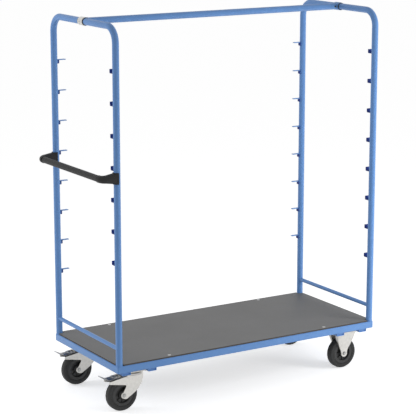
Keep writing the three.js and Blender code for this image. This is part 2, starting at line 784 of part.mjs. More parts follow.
// A fixed fork: a plate and two legs that flare out above a knee
function fixedFork(name, x, y) {
  const plate = block(
    [x - casterPlateLength / 2, y - casterPlateWidth / 2, plateBottom],
    [x + casterPlateLength / 2, y + casterPlateWidth / 2, casterHeight],
  );
  const knee = wheelRadius + fixedForkKneeHeight;
  const topHalf = forkTopShare * casterPlateLength;
  const kneeHalf = forkKneeShare * casterPlateLength;
  const shoulderHalf = forkShoulderShare * casterPlateLength;
  const shoulder = plateBottom - forkShoulderDropShare * fixedForkKneeHeight;
  const boss = arc(x, wheelRadius, bossRadius, 0, -Math.PI, bendSteps);
  const lowOutline = [[x - kneeHalf, knee], [x + kneeHalf, knee], ...boss];
  const highOutline = [
    [x - kneeHalf, knee],
    [x + kneeHalf, knee],
    [x + shoulderHalf, shoulder],
    [x + topHalf, casterHeight],
    [x - topHalf, casterHeight],
    [x - shoulderHalf, shoulder],
  ];
  const parts = [plate];
  for (const side of [-1, 1]) {
    const faces = [side * forkInsideWidth / 2, side * forkOutside / 2].sort((a, b) => a - b);
    parts.push(plateAcross(lowOutline, y + faces[0], y + faces[1]));
    const slope = side * (fixedForkTopWidth - forkOutside) / 2 / (casterHeight - knee);
    parts.push(plateAcross(highOutline, y + faces[0], y + faces[1], slope, knee));
  }
  const ends = [y - forkOutside, y + forkOutside];
  const bore = crosswise(axleRadius + fitGap, x, wheelRadius, ...ends, pinSides, true);
  piece(`${name}_fork`, joined(parts).subtract(bore), finishes.zinc);
}

function casters() {
  for (const [corner, side] of [['front_left', -1], ['back_left', 1]]) {
    const y = side * casterY;
    swivelHead(corner, swivelX, y);
    swivelFork(corner, swivelX - trail, y);
    axle(corner, swivelX - trail, y);
    wheel(corner, swivelX - trail, y);
    brake(corner, swivelX - trail, y);
  }
  for (const [corner, side] of [['front_right', -1], ['back_right', 1]]) {
    const y = side * casterY;
    fixedFork(corner, fixedX, y);
    axle(corner, fixedX, y);
    wheel(corner, fixedX, y);
  }
}

endFrame('left', -postX, 1, leftFrontHooksLeftOut);
endFrame('right', postX, -1, 0);
crossRail('left_cross_rail', -postX);
crossRail('right_cross_rail', postX);
deckRails();
casterBeams();
deckBoard();
boardScrews();
tieTube();
tieClamp('left', -postX, 1);
tieClamp('right', postX, -1);
handleBar();
handleBracket('front_handle_bracket', -1);
handleBracket('back_handle_bracket', 1);
casters();

export default trolley;
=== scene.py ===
"""Shelf trolley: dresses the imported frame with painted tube, board, handle and casters."""

import math
from itertools import product

import bmesh
import bpy
from bpy.props import FloatProperty, FloatVectorProperty, IntProperty, PointerProperty
from bpy.types import Operator, Panel, PropertyGroup
from mathutils import Matrix, Vector


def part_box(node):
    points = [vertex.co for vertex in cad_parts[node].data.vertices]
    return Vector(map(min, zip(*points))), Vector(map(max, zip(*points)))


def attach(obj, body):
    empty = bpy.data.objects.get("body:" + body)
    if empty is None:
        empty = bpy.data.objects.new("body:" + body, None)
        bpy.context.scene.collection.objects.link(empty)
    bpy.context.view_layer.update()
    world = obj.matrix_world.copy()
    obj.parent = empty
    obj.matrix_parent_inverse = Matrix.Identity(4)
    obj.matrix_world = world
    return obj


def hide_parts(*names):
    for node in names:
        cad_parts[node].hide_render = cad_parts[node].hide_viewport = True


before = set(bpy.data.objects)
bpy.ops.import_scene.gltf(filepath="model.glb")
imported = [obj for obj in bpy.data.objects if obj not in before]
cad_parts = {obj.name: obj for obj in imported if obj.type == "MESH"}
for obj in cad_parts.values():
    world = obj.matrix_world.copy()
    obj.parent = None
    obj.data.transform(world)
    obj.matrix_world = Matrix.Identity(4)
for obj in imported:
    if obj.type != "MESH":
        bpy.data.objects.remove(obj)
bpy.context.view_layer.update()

bl_info = {
    "name": "Shelf trolley",
    "version": (1, 0, 0),
    "blender": (4, 5, 0),
    "location": "3D View > Sidebar > Trolley",
    "description": "Dresses the packed frame of a shelf trolley, piece by piece, and sets its stage",
    "category": "Object",
}

MM = 0.001
X_AXIS = Vector((1, 0, 0))
Y_AXIS = Vector((0, 1, 0))
Z_AXIS = Vector((0, 0, 1))
SIDES = (-1, 1)
SHARP_ANGLE = math.radians(32)
SAME_PLACE = 1e-6
# The corners of the deck in turn, each by its side in X and in Y
ROUND = ((-1, -1), (1, -1), (1, 1), (-1, 1))

# Which way is inward along X at each end of the trolley
ENDS = {"left": 1, "right": -1}
SWIVELS = ("front_left", "back_left")
FIXED = ("front_right", "back_right")

# Sockets of a Mix node that mixes colours
MIX_SHARE, MIX_FIRST, MIX_SECOND, MIX_RESULT = 0, 6, 7, 2


def srgb(code):
    """The linear colour of an sRGB hex value."""
    parts = [int(code[i:i + 2], 16) / 255 for i in (1, 3, 5)]
    return [c / 12.92 if c <= 0.04045 else ((c + 0.055) / 1.055) ** 2.4 for c in parts]


def length_setting(name, description, millimetres):
    """A length that a user may change, given in millimetres."""
    return FloatProperty(
        name=name, description=description, default=millimetres * MM, min=0, unit="LENGTH",
    )


def colour_setting(name, description, code):
    """A colour that a user may change, given as an sRGB hex value."""
    return FloatVectorProperty(
        name=name, description=description, default=srgb(code), min=0, max=1, subtype="COLOR",
    )


# Sizes and colours


class TubeSettings(PropertyGroup):
    """Bent tube, hooks and welds of the end frames."""

    diameter: length_setting("Tube diameter", "Outside diameter of the bent tube", 32)
    bend_radius: length_setting("Bend radius", "Radius of the tube's axis in a bend", 75)
    hook_thickness: length_setting("Hook thickness", "Sheet that the hooks are bent from", 4)
    hook_pitch: length_setting("Hook pitch", "Distance between two levels of hooks", 150)
    top_hook_drop: length_setting("Top hook drop", "From the top tube's axis to the top hook", 213)
    front_hook_reach: length_setting("Front hook reach", "From the post's axis to the hook's end", 40)
    front_hook_width: length_setting("Front hook width", "Width of a front hook", 23)
    front_hook_upstand: length_setting("Front hook upstand", "Height of the hook's upstand", 20)
    back_hook_reach: length_setting("Back hook reach", "From the post's axis to the tongue's tip", 59.5)
    back_hook_width: length_setting("Back hook width", "Width of a back hook", 14)
    back_hook_foot: length_setting("Back hook foot", "Thickness of the leg on the post", 8)
    back_hook_leg: length_setting("Back hook leg", "Height of the leg on the post", 20)
    hook_edge: length_setting("Hook edge", "Rounding of the hooks' cut edges", 0.45)
    weld_radius: length_setting("Weld radius", "Half the width of a weld bead", 1.4)
    levels: IntProperty(name="Hook levels", description="Levels of hooks on a post", default=8, min=1)
    paint: colour_setting("Paint", "Blue of the powder coat", "#6492CE")
    # The hook coat is painted shade: a deep blue for the hooks' shaded parts, not a coat of its own
    dip: colour_setting("Hook coat", "Deep blue of the dipped hooks", "#142F78")
    # The bore colour is the dark steel of small screws, and painted shade in the recesses of screws
    bore: colour_setting("Bore", "Oiled bare steel in recesses", "#2A2E36")


class DeckSettings(PropertyGroup):
    """Rails, beams and board of the deck."""

    rail_wall: length_setting("Rail wall", "Sheet that the rails are folded from", 4)
    rail_fold: length_setting("Rail fold", "Outside radius of a fold in a rail", 3.5)
    corner_round: length_setting("Corner rounding", "Radius of the frame's upright corners", 7)
    top_flange: length_setting("Top flange", "Width of a rail's top flange", 40)
    low_flange: length_setting("Low flange", "Width of a rail's low flange", 25)
    mitre_weld: length_setting("Mitre weld", "Half the width of the bead along a mitre", 0.9)
    beam_wall: length_setting("Beam wall", "Wall of the caster beams", 3)
    plate_depth: length_setting("End plate depth", "How far in a beam's end plate lies", 5)
    plate_weld: length_setting("End plate weld", "Half the width of the bead round an end plate", 1.2)
    notch: length_setting("Corner notch", "From a post's axis to the board's notch", 17.5)
    edge_round: length_setting("Board edge", "Rounding of the board's edges", 0.7)
    screw_radius: length_setting("Screw head radius", "Radius of the screw heads in the board", 8)
    face: colour_setting("Board face", "Grey film on the board", "#696969")
    edge: colour_setting("Board edge colour", "Sawn and sealed edge of the board", "#4F473F")
    screw: colour_setting("Board screw", "Zinc flake coat of the board screws", "#F2F3F3")


class TieSettings(PropertyGroup):
    """Tie tube across the top and its clamps."""

    clamp_gap: length_setting("Clamp gap", "Between the top tube and a clamp", 0.3)
    clamp_wall: length_setting("Clamp wall", "Wall of a clamp", 3.9)
    clamp_width: length_setting("Clamp width", "Width of a clamp along the top tube", 44)
    # The liner is painted shade: a dark sleeve standing out of each end of a clamp where the gap there lies
    # in shadow
    shade_sleeve_reach: length_setting("Liner reach", "How far the liner stands out of its clamp", 5)
    screw_offset: length_setting("Screw offset", "From the top tube's axis to the clamp's screw", 30)
    screw_radius: length_setting("Screw radius", "Radius of the screw's head", 5)


class HandleSettings(PropertyGroup):
    """Push handle of grip and end brackets."""

    bar_diameter: length_setting("Grip diameter", "Outside diameter of the grip", 31)
    elbow_diameter: length_setting("Elbow diameter", "Outside diameter of an elbow", 35)
    elbow_bend: length_setting("Elbow bend", "Radius of an elbow's axis", 21)
    collar_wall: length_setting("Collar wall", "Wall of a collar on the post", 5)
    collar_lip: length_setting("Collar lip", "How far a collar stands above and below its arm", 2.5)
    ridges: IntProperty(name="Ridges", description="Ridges round the grip", default=16, min=3)
    ridge_depth: length_setting("Ridge depth", "Depth of the grooves between the ridges", 1.1)
    plastic: colour_setting("Plastic", "Black of the moulded handle", "#191919")


class CasterSettings(PropertyGroup):
    """Wheels, forks, plates and brakes of the casters."""

    wheel_radius: length_setting("Wheel radius", "Radius of a wheel", 80)
    tyre_width: length_setting("Tyre width", "Width of a tyre", 38)
    tyre_depth: length_setting("Tyre depth", "From the tread to the rim", 22)
    dish_radius: length_setting("Dish radius", "Radius of the dish in a wheel's side", 41)
    hub_radius: length_setting("Hub radius", "Radius of the hub", 22)
    hub_length: length_setting("Hub length", "Length of the hub", 46)
    fork_wall: length_setting("Fork wall", "Sheet that the forks are pressed from", 4)
    fork_inside: length_setting("Fork inside", "Width between a fork's cheeks", 50)
    boss_radius: length_setting("Boss radius", "Radius of a fixed fork's end at the axle", 18)
    swivel_boss: length_setting("Swivel boss radius", "Radius of a swivel fork's end", 21)
    plate_length: length_setting("Plate length", "Length of a top plate", 140)
    plate_width: length_setting("Plate width", "Width of a top plate", 110)
    plate_thickness: length_setting("Plate thickness", "Thickness of a top plate", 4)
    bolt_inset: length_setting("Bolt inset", "From a top plate's edges to its bolts", 13)
    race_radius: length_setting("Race radius", "Radius of the bearing race under a top plate", 40)
    crown_radius: length_setting("Crown radius", "Radius of a swivel fork's crown", 54)
    crown_skirt: length_setting("Crown skirt", "Height of the crown's rolled skirt", 11)
    lever_sheet: length_setting("Lever sheet", "Sheet that the brake levers are pressed from", 3)
    lever_neck: length_setting("Lever neck", "Width of a brake lever above the wheel", 48)
    lever_foot: length_setting("Lever foot", "Length of the wide foot at a lever's tip", 16)
    lever_fall: length_setting("Lever fall", "How far a lever falls from its pin to its bend", 9)
    step_height: length_setting("Step height", "Height of the pressed step on a lever", 3.9)
    rubber: colour_setting("Rubber", "Dark grey of the tyres", "#2B2B2B")
    rim: colour_setting("Rim", "Black of the moulded rims", "#2C2C2C")
    zinc: colour_setting("Zinc", "Bright zinc plate", "#D3D1CC")
    # The lever zinc is darker as painted shade and reflection: the shiny levers sit in the shade under the
    # deck and pick up its dark
    lever: colour_setting("Lever", "Darker zinc plate of the brake levers", "#85868A")
    # The bolts' zinc is greyer than the forks': partly a zinc tone of their own, partly painted shade for the
    # dark edges round the bolt heads
    bolt: colour_setting("Bolt", "Zinc plate of the axle bolts", "#AFAFAD")


class StageSettings(PropertyGroup):
    """Floor, light and camera."""

    lens: FloatProperty(name="Lens", description="Focal length on a 36 mm sensor", default=142.62, min=1)
    camera_place: FloatVectorProperty(
        name="Camera place", description="Where the camera stands",
        default=(-4.2335, -6.8724, 2.6253), subtype="TRANSLATION", unit="LENGTH",
    )
    camera_turn: FloatProperty(
        name="Camera turn", description="How far the camera looks towards +X from +Y",
        default=math.radians(31.566), subtype="ANGLE", unit="ROTATION",
    )
    camera_dip: FloatProperty(
        name="Camera dip", description="How far the camera looks down",
        default=math.radians(12.227), subtype="ANGLE", unit="ROTATION",
    )
    floor: colour_setting("Floor", "Paper that the trolley stands on", "#F7F7F7")
    floor_lift: FloatProperty(
        name="Floor lift", description="Glow that brings the paper up to white", default=0.56, min=0,
    )
    world_strength: FloatProperty(
        name="World strength", description="Strength of the soft light all round", default=0.46, min=0,
    )
    key_strength: FloatProperty(
        name="Key strength", description="Strength of the tall lamp at the right, in watts",
        default=46, min=0, unit="POWER",
    )
    fill_strength: FloatProperty(
        name="Fill strength", description="Strength of the tall lamp at the left, in watts",
        default=32, min=0, unit="POWER",
    )


SETTINGS = {
    "trolley_tube": TubeSettings,
    "trolley_deck": DeckSettings,
    "trolley_tie": TieSettings,
    "trolley_handle": HandleSettings,
    "trolley_caster": CasterSettings,
    "trolley_stage": StageSettings,
}


def settings(group):
    """The settings of a group, such as those of the tube."""
    return getattr(bpy.context.scene, f"trolley_{group}")


# Places in the frame


def middle(node):
    """The middle of a node's box in the frame."""
    low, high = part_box(node)
    return (low + high) / 2


def post_place(end):
    """Post axis X, front post axis Y, foot height and top tube height of an end frame."""
    low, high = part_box(f"front_{end}_frame")
    radius = (high.x - low.x) / 2
    return (low.x + high.x) / 2, low.y + radius, low.z, high.z - radius


# Shapes, each as its points and its faces


def rounded(points, radii, steps=4):
    """An outline with its corners rounded, by one radius or by one for each corner."""
    radii = radii if isinstance(radii, list) else [radii] * len(points)
    straight, most = math.pi - 0.01, 0.49
    made = []
    for i, radius in enumerate(radii):
        here = Vector(points[i])
        before = Vector(points[i - 1]) - here
        after = Vector(points[(i + 1) % len(points)]) - here
        angle = before.angle(after)
        if radius <= 0 or angle > straight:
            made.append(tuple(here))
            continue
        reach = min(radius / math.tan(angle / 2), before.length * most, after.length * most)
        start, end = here + before.normalized() * reach, here + after.normalized() * reach
        for step in range(steps + 1):
            share = step / steps
            pull = 2 * share * (1 - share)
            made.append(tuple(start * (1 - share) ** 2 + here * pull + end * share ** 2))
    return made


def arc(centre, radius, start, stop, steps):
    """Points of an arc in u and v, between two angles in degrees."""
    angles = [math.radians(start + (stop - start) * i / steps) for i in range(steps + 1)]
    return [(centre[0] + radius * math.cos(angle), centre[1] + radius * math.sin(angle)) for angle in angles]


def circle(radius, steps=32):
    """Points of a circle in u and v."""
    return arc((0, 0), radius, 0, 360, steps)[:-1]


def rectangle(low, high):
    """Corners of a rectangle in u and v."""
    return [(low[0], low[1]), (high[0], low[1]), (high[0], high[1]), (low[0], high[1])]


def mirrored(side, *crest):
    """A profile of radius and depth from one side of it, its mirror image, and a crest between."""
    return [(radius, -depth) for radius, depth in side] + [*crest] + side[::-1]


def placed(outline, centre, u_axis, v_axis):
    """Points of an outline in space."""
    return [centre + u_axis * u + v_axis * v for u, v in outline]


def skin(rings, closed=False):
    """A skin over rings of as many points each, capped at both ends unless it closes on itself."""
    count = len(rings[0])
    points = [point for ring in rings for point in ring]
    faces = []
    for i in range(len(rings) if closed else len(rings) - 1):
        a, b = i * count, (i + 1) % len(rings) * count
        for j in range(count):
            k = (j + 1) % count
            faces.append((a + j, a + k, b + k, b + j))
    if not closed:
        faces.append(tuple(reversed(range(count))))
        faces.append(tuple(range(len(points) - count, len(points))))
    return points, faces


def prism(outline, low, high, u_axis, v_axis, rim=0.0, centre=Vector()):
    """A plate with an outline in u and v between two depths, with its rim rounded."""
    depth_axis = u_axis.cross(v_axis)
    made = bmesh.new()
    ends = []
    for depth in (low, high):
        ring = placed(outline, centre + depth_axis * depth, u_axis, v_axis)
        ends.append([made.verts.new(point) for point in ring])
    caps = [made.faces.new(end) for end in ends]
    for j in range(len(outline)):
        k = (j + 1) % len(outline)
        made.faces.new((ends[0][j], ends[0][k], ends[1][k], ends[1][j]))
    if rim:
        edges = [edge for cap in caps for edge in cap.edges]
        bmesh.ops.bevel(
            made, geom=edges, offset=rim, segments=2, profile=0.5, affect="EDGES", clamp_overlap=True,
        )
    made.verts.index_update()
    shape = ([v.co.copy() for v in made.verts], [tuple(v.index for v in f.verts) for f in made.faces])
    made.free()
    return shape


def turned(profile, centre, axis, steps=48, closed=True):
    """A ring turned about an axis, from points of radius and depth along it."""
    u_axis = axis.orthogonal().normalized()
    v_axis = axis.normalized().cross(u_axis)
    rings = []
    for u, v in circle(1, steps):
        outward = u_axis * u + v_axis * v
        rings.append([centre + outward * radius + axis * depth for radius, depth in profile])
    points, faces = skin(rings, closed=True)
    if not closed:
        count = len(profile)
        faces = [face for face in faces if {face[0] % count, face[1] % count} != {0, count - 1}]
    return points, faces


def headings(path, looped=False):
    """The direction of a path at each of its points."""
    made = []
    for i, point in enumerate(path):
        after = path[(i + 1) % len(path)] if looped or i < len(path) - 1 else point
        before = path[i - 1] if looped or i else point
        made.append((after - before).normalized())
    return made


def swept(path, outline, side):
    """Rings of an outline along a path that lies square to its side."""
    return [placed(outline, point, side, ahead.cross(side)) for point, ahead in zip(path, headings(path))]


def bead(path, radius, looped=False):
    """A weld bead with its ripples, along a path."""
    rings = []
    directions = headings(path, looped)
    across = directions[0].orthogonal()
    for i, (point, ahead) in enumerate(zip(path, directions)):
        # Each ring turns as little as it can from the one before
        across = (across - ahead * across.dot(ahead)).normalized()
        swell = 1 if looped else math.sin(math.pi * (i + 0.5) / len(path)) ** 0.4
        ripple = 1 + 0.12 * (-1) ** i
        rings.append(placed(circle(radius * swell * ripple, 8), point, across, ahead.cross(across)))
    return skin(rings, closed=looped)


def piece(name, body, slot, nodes, *coats):
    """One piece of the trolley, riding on a body, from each of its finishes and what that covers."""
    mesh = bpy.data.meshes.new(name)
    points, faces, marks = [], [], []
    for mark, (coat, shapes) in enumerate(coats):
        mesh.materials.append(finish(coat))
        for shape_points, shape_faces in shapes:
            start = len(points)
            points.extend(shape_points)
            faces.extend(tuple(start + i for i in face) for face in shape_faces)
            marks.extend([mark] * len(shape_faces))
    mesh.from_pydata(points, [], faces)
    mesh.polygons.foreach_set("material_index", marks)
    merged = bmesh.new()
    merged.from_mesh(mesh)
    bmesh.ops.remove_doubles(merged, verts=merged.verts, dist=SAME_PLACE)
    bmesh.ops.recalc_face_normals(merged, faces=merged.faces)
    merged.to_mesh(mesh)
    merged.free()
    mesh.shade_smooth()
    mesh.set_sharp_from_angle(angle=SHARP_ANGLE)
    # The flat ends of plates keep their own normal, and only their rims are shaded round
    for face in mesh.polygons:
        face.use_smooth = face.loop_total <= 4
    made = bpy.data.objects.new(name, mesh)
    bpy.context.scene.collection.objects.link(made)
    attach(made, body)
    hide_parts(*nodes)


# Finishes


def add_node(tree, kind, inputs=(), **values):
    """Adds a node with its settings, and fills or links its inputs from pairs of socket and value."""
    made = tree.nodes.new(kind)
    for name, value in values.items():
        setattr(made, name, value)
    for socket, value in inputs:
        if isinstance(value, bpy.types.NodeSocket):
            tree.links.new(value, made.inputs[socket])
        else:
            made.inputs[socket].default_value = value
    return made


def grain(millimetres):
    """The scale of a pattern whose detail has a real size in millimetres."""
    return 1 / (millimetres * MM)


def opaque(colour):
    """A colour with full cover."""
    return (*colour, 1)


def shaded(colour, share):
    """A colour brought up or down by a share, with full cover."""
    return opaque([min(1, part * share) for part in colour])


def finish_base(name, *constants):
    """A material and its shader with its constants, and the place on the piece for its patterns."""
    material = bpy.data.materials.new(name)
    material.use_nodes = True
    tree = material.node_tree
    tree.nodes.clear()
    shader = add_node(tree, "ShaderNodeBsdfPrincipled", constants)
    add_node(tree, "ShaderNodeOutputMaterial", [("Surface", shader.outputs[0])])
    place = add_node(tree, "ShaderNodeTexCoord").outputs["Object"]
    return material, tree, shader, place


def finished(base, tone, gloss=None, relief=None):
    """The material of a base, once its colour, gloss and relief are linked to its shader."""
    material, tree, shader, _ = base
    for socket, source in (("Base Color", tone), ("Roughness", gloss), ("Normal", relief)):
        if source is not None:
            tree.links.new(source, shader.inputs[socket])
    return material


def mottled(tree, place, size, first, second):
    """Two colours mixed by a soft noise whose patches have a real size."""
    noise = add_node(tree, "ShaderNodeTexNoise", [("Vector", place), ("Scale", grain(size)), ("Detail", 4)])
    share = add_node(
        tree, "ShaderNodeMapRange", [("Value", noise.outputs[0]), ("From Min", 0.35), ("From Max", 0.65)],
    )
    inputs = [(MIX_SHARE, share.outputs[0]), (MIX_FIRST, first), (MIX_SECOND, second)]
    return add_node(tree, "ShaderNodeMix", inputs, data_type="RGBA").outputs[MIX_RESULT]


def grained(tree, pattern, dullest, roughest, strength, depth):
    """The gloss and the relief that one pattern gives, its depth in millimetres."""
    gloss = add_node(tree, "ShaderNodeMapRange", [
        ("Value", pattern), ("To Min", dullest), ("To Max", roughest),
    ])
    relief = add_node(tree, "ShaderNodeBump", [
        ("Height", pattern), ("Strength", strength), ("Distance", depth * MM),
    ])
    return gloss.outputs[0], relief.outputs[0]


def powder_coat(name, colour):
    """Blue powder coat on steel tube."""
    # Polyester powder baked on steel: an even satin gloss, the faint orange peel of flowed powder,
    # and hardly any change of colour from place to place.
    base = finish_base(name, ("IOR", 1.5))
    _, tree, _, place = base
    tone = mottled(tree, place, 90, shaded(colour, 0.98), shaded(colour, 1.02))
    peel = add_node(tree, "ShaderNodeTexNoise", [("Vector", place), ("Scale", grain(1.6)), ("Detail", 2)])
    return finished(base, tone, *grained(tree, peel.outputs[0], 0.36, 0.46, 0.12, 0.2))


def dipped_vinyl(name, colour):
    """Deep blue that paints the shade on the hooks."""
    # Painted shade: the front hooks and the legs of the back hooks lie in the posts' shade and take this deep
    # blue in place of the lit powder coat. It is softly shiny, with slow waves in its gloss and small random
    # patches of tone.
    base = finish_base(name, ("IOR", 1.45))
    _, tree, _, place = base
    tone = mottled(tree, place, 6, shaded(colour, 0.85), shaded(colour, 1.15))
    wave = add_node(tree, "ShaderNodeTexNoise", [("Vector", place), ("Scale", grain(4)), ("Detail", 2)])
    return finished(base, tone, *grained(tree, wave.outputs[0], 0.42, 0.58, 0.3, 0.3))


def film_face(name, colour):
    """Grey phenolic film on the deck board."""
    # Phenolic resin film pressed on board: matt, with a fine stipple from the press plate, faint
    # cloudy patches and a few pale scuffs along the way that goods slide.
    base = finish_base(name, ("IOR", 1.55))
    _, tree, _, place = base
    cloud = mottled(tree, place, 240, shaded(colour, 0.95), shaded(colour, 1.05))
    stretch = add_node(tree, "ShaderNodeMapping", [("Vector", place), ("Scale", (0.08, 1, 1))])
    scuff = add_node(tree, "ShaderNodeTexNoise", [
        ("Vector", stretch.outputs[0]), ("Scale", grain(7)), ("Detail", 6), ("Roughness", 0.7),
    ])
    scuffed = add_node(tree, "ShaderNodeMapRange", [
        ("Value", scuff.outputs[0]), ("From Min", 0.6), ("From Max", 0.85), ("To Max", 0.22),
    ])
    tone = add_node(tree, "ShaderNodeMix", [
        (MIX_SHARE, scuffed.outputs[0]), (MIX_FIRST, cloud), (MIX_SECOND, shaded(colour, 1.5)),
    ], data_type="RGBA")
    stipple = add_node(tree, "ShaderNodeTexVoronoi", [("Vector", place), ("Scale", grain(2.2))])
    surface = grained(tree, stipple.outputs[0], 0.52, 0.66, 0.18, 0.2)
    return finished(base, tone.outputs[MIX_RESULT], *surface)


def sawn_edge(name, colour):
    """Sealed sawn edge of the plywood board."""
    # Birch plywood sawn and sealed with brown edge paint: thin veneer layers show through as
    # lighter and darker lines along the edge. A wave's bands lie twenty to a unit of its scale.
    base = finish_base(name, ("Roughness", 0.7))
    _, tree, _, place = base
    layers = add_node(tree, "ShaderNodeTexWave", [
        ("Vector", place), ("Scale", grain(1.4) / 20), ("Distortion", 1.5), ("Detail", 3),
    ], bands_direction="Z")
    tone = add_node(tree, "ShaderNodeMix", [
        (MIX_SHARE, layers.outputs["Fac"]), (MIX_FIRST, shaded(colour, 0.75)),
        (MIX_SECOND, shaded(colour, 1.25)),
    ], data_type="RGBA")
    return finished(base, tone.outputs[MIX_RESULT])


def zinc_plate(name, colour, shiniest, dullest, metal=0.85):
    """Zinc on pressed or headed steel, from polished plate to a matt flake coat."""
    # Electroplated zinc on pressed steel: a pale, slightly warm metal with the soft cloudy spangle
    # of the passivated plate, and faint draw marks from the press. As flakes in a baked binder it
    # is paler and matt, with less of the metal's mirror.
    base = finish_base(name, ("Metallic", metal))
    _, tree, _, place = base
    tone = mottled(tree, place, 14, shaded(colour, 0.93), shaded(colour, 1.03))
    cloud = add_node(tree, "ShaderNodeTexNoise", [("Vector", place), ("Scale", grain(5)), ("Detail", 5)])
    gloss = add_node(tree, "ShaderNodeMapRange", [
        ("Value", cloud.outputs[0]), ("From Min", 0.3), ("From Max", 0.7),
        ("To Min", shiniest), ("To Max", dullest),
    ])
    marks = add_node(tree, "ShaderNodeMapping", [("Vector", place), ("Scale", (1, 1, 0.1))])
    draw = add_node(tree, "ShaderNodeTexNoise", [
        ("Vector", marks.outputs[0]), ("Scale", grain(0.8)), ("Detail", 2),
    ])
    relief = add_node(tree, "ShaderNodeBump", [
        ("Height", draw.outputs[0]), ("Strength", 0.08), ("Distance", 0.1 * MM),
    ])
    return finished(base, tone, gloss.outputs[0], relief.outputs[0])


def moulded_plastic(name, colour, texture, dull, sheen=0.5):
    """Black moulded plastic with a spark-eroded texture."""
    # Glass-filled polyamide or polypropylene from an eroded mould: dark, with a fine pebbled
    # texture that spreads the highlights and a slightly greyer bloom on the raised spots. A deep
    # texture holds back part of the sheen.
    base = finish_base(name, ("IOR", 1.5), ("Specular IOR Level", sheen))
    _, tree, _, place = base
    pebble = add_node(tree, "ShaderNodeTexNoise", [
        ("Vector", place), ("Scale", grain(texture)), ("Detail", 3), ("Roughness", 0.6),
    ])
    bloom = add_node(tree, "ShaderNodeMapRange", [
        ("Value", pebble.outputs[0]), ("From Min", 0.35), ("From Max", 0.65),
    ])
    tone = add_node(tree, "ShaderNodeMix", [
        (MIX_SHARE, bloom.outputs[0]), (MIX_FIRST, shaded(colour, 0.9)), (MIX_SECOND, shaded(colour, 1.12)),
    ], data_type="RGBA")
    surface = grained(tree, pebble.outputs[0], dull - 0.06, dull + 0.08, 0.25, 0.2)
    return finished(base, tone.outputs[MIX_RESULT], *surface)


def solid_rubber(name, colour):
    """Dark grey solid rubber of the tyres."""
    # Vulcanised solid rubber: matt and slightly blotched, with a pale dusty bloom and the fine
    # grain left by the mould.
    base = finish_base(name, ("IOR", 1.52), ("Roughness", 0.72))
    _, tree, _, place = base
    tone = mottled(tree, place, 11, shaded(colour, 0.9), shaded(colour, 1.12))
    grit = add_node(tree, "ShaderNodeTexNoise", [("Vector", place), ("Scale", grain(0.9)), ("Detail", 3)])
    relief = add_node(tree, "ShaderNodeBump", [
        ("Height", grit.outputs[0]), ("Strength", 0.2), ("Distance", 0.2 * MM),
    ])
    return finished(base, tone, relief=relief.outputs[0])


def dark_steel_and_shade_finish(name, colour):
    """Dark steel of small screw heads, and painted shade in the recesses of screws."""
    # Dark bare steel for the small screws. In the cross recesses the same dark is painted shade, so that a
    # recess reads as dark.
    base = finish_base(name, ("Roughness", 0.8))
    _, tree, _, place = base
    return finished(base, mottled(tree, place, 20, opaque(colour), opaque(srgb("#363A42"))))


# What makes each finish, the group and the setting of its colour, and its own values
FINISHES = {
    "blue_powder_coat": (powder_coat, "tube", "paint"),
    "dipped_vinyl": (dipped_vinyl, "tube", "dip"),
    "oiled_bare_steel": (dark_steel_and_shade_finish, "tube", "bore"),
    "grey_film_faced_board": (film_face, "deck", "face"),
    "sealed_plywood_edge": (sawn_edge, "deck", "edge"),
    "zinc_flake_coat": (zinc_plate, "deck", "screw", 0.5, 0.62, 0.2),
    "bright_zinc_plate": (zinc_plate, "caster", "zinc", 0.3, 0.48),
    "dark_zinc_plate": (zinc_plate, "caster", "lever", 0.26, 0.38),
    "bolt_zinc_plate": (zinc_plate, "caster", "bolt", 0.3, 0.45),
    "black_polyamide": (moulded_plastic, "handle", "plastic", 1.5, 0.52, 0.36),
    "black_polypropylene": (moulded_plastic, "caster", "rim", 1.1, 0.45),
    "solid_grey_rubber": (solid_rubber, "caster", "rubber"),
}


def finish(name):
    """The material of a name, made the first time that it is asked for."""
    make, group, setting, *values = FINISHES[name]
    return bpy.data.materials.get(name) or make(name, getattr(settings(group), setting), *values)


# End frames


def hoop(end):
    """The bent tube of an end frame."""
    tube = settings("tube")
    x, y, foot, top = post_place(end)
    bend = tube.bend_radius
    quarter = arc((0, 0), bend, 0, 90, 14)
    path = [
        Vector((x, y, foot)),
        *placed(quarter, Vector((x, y + bend, top - bend)), -Y_AXIS, Z_AXIS),
        *placed(quarter, Vector((x, -y - bend, top - bend)), Z_AXIS, Y_AXIS),
        Vector((x, -y, foot)),
    ]
    return skin(swept(path, circle(tube.diameter / 2, 40), X_AXIS))


def foot_welds(end):
    """Beads round the feet of the posts."""
    tube = settings("tube")
    x, y, foot, _ = post_place(end)
    seam = circle(tube.diameter / 2, 72)
    centres = [Vector((x, side, foot + tube.weld_radius * 0.3)) for side in (y, -y)]
    return [bead(placed(seam, centre, X_AXIS, Y_AXIS), tube.weld_radius, looped=True) for centre in centres]


def front_hook(x, y, z):
    """A bent hook on a front post, and its welds."""
    tube = settings("tube")
    sheet, radius = tube.hook_thickness, tube.diameter / 2
    end = y + tube.front_hook_reach
    root = y + radius - tube.weld_radius
    top = z + tube.front_hook_upstand
    outline = rounded(
        [(root, z), (end, z), (end, top), (end - sheet, top), (end - sheet, z + sheet), (root, z + sheet)],
        [0, sheet * 1.2, sheet * 0.4, sheet * 0.4, sheet * 0.3, 0],
    )
    half = tube.front_hook_width / 2
    hook = prism(outline, x - half, x + half, Y_AXIS, Z_AXIS, tube.hook_edge)
    across = [half * (i / 10 - 1) for i in range(21)]
    seam = [(x + u, y + math.sqrt(radius ** 2 - u ** 2)) for u in across]
    welds = [
        bead([Vector((u, v, height)) for u, v in seam], tube.weld_radius) for height in (z, z + sheet)
    ]
    return hook, welds


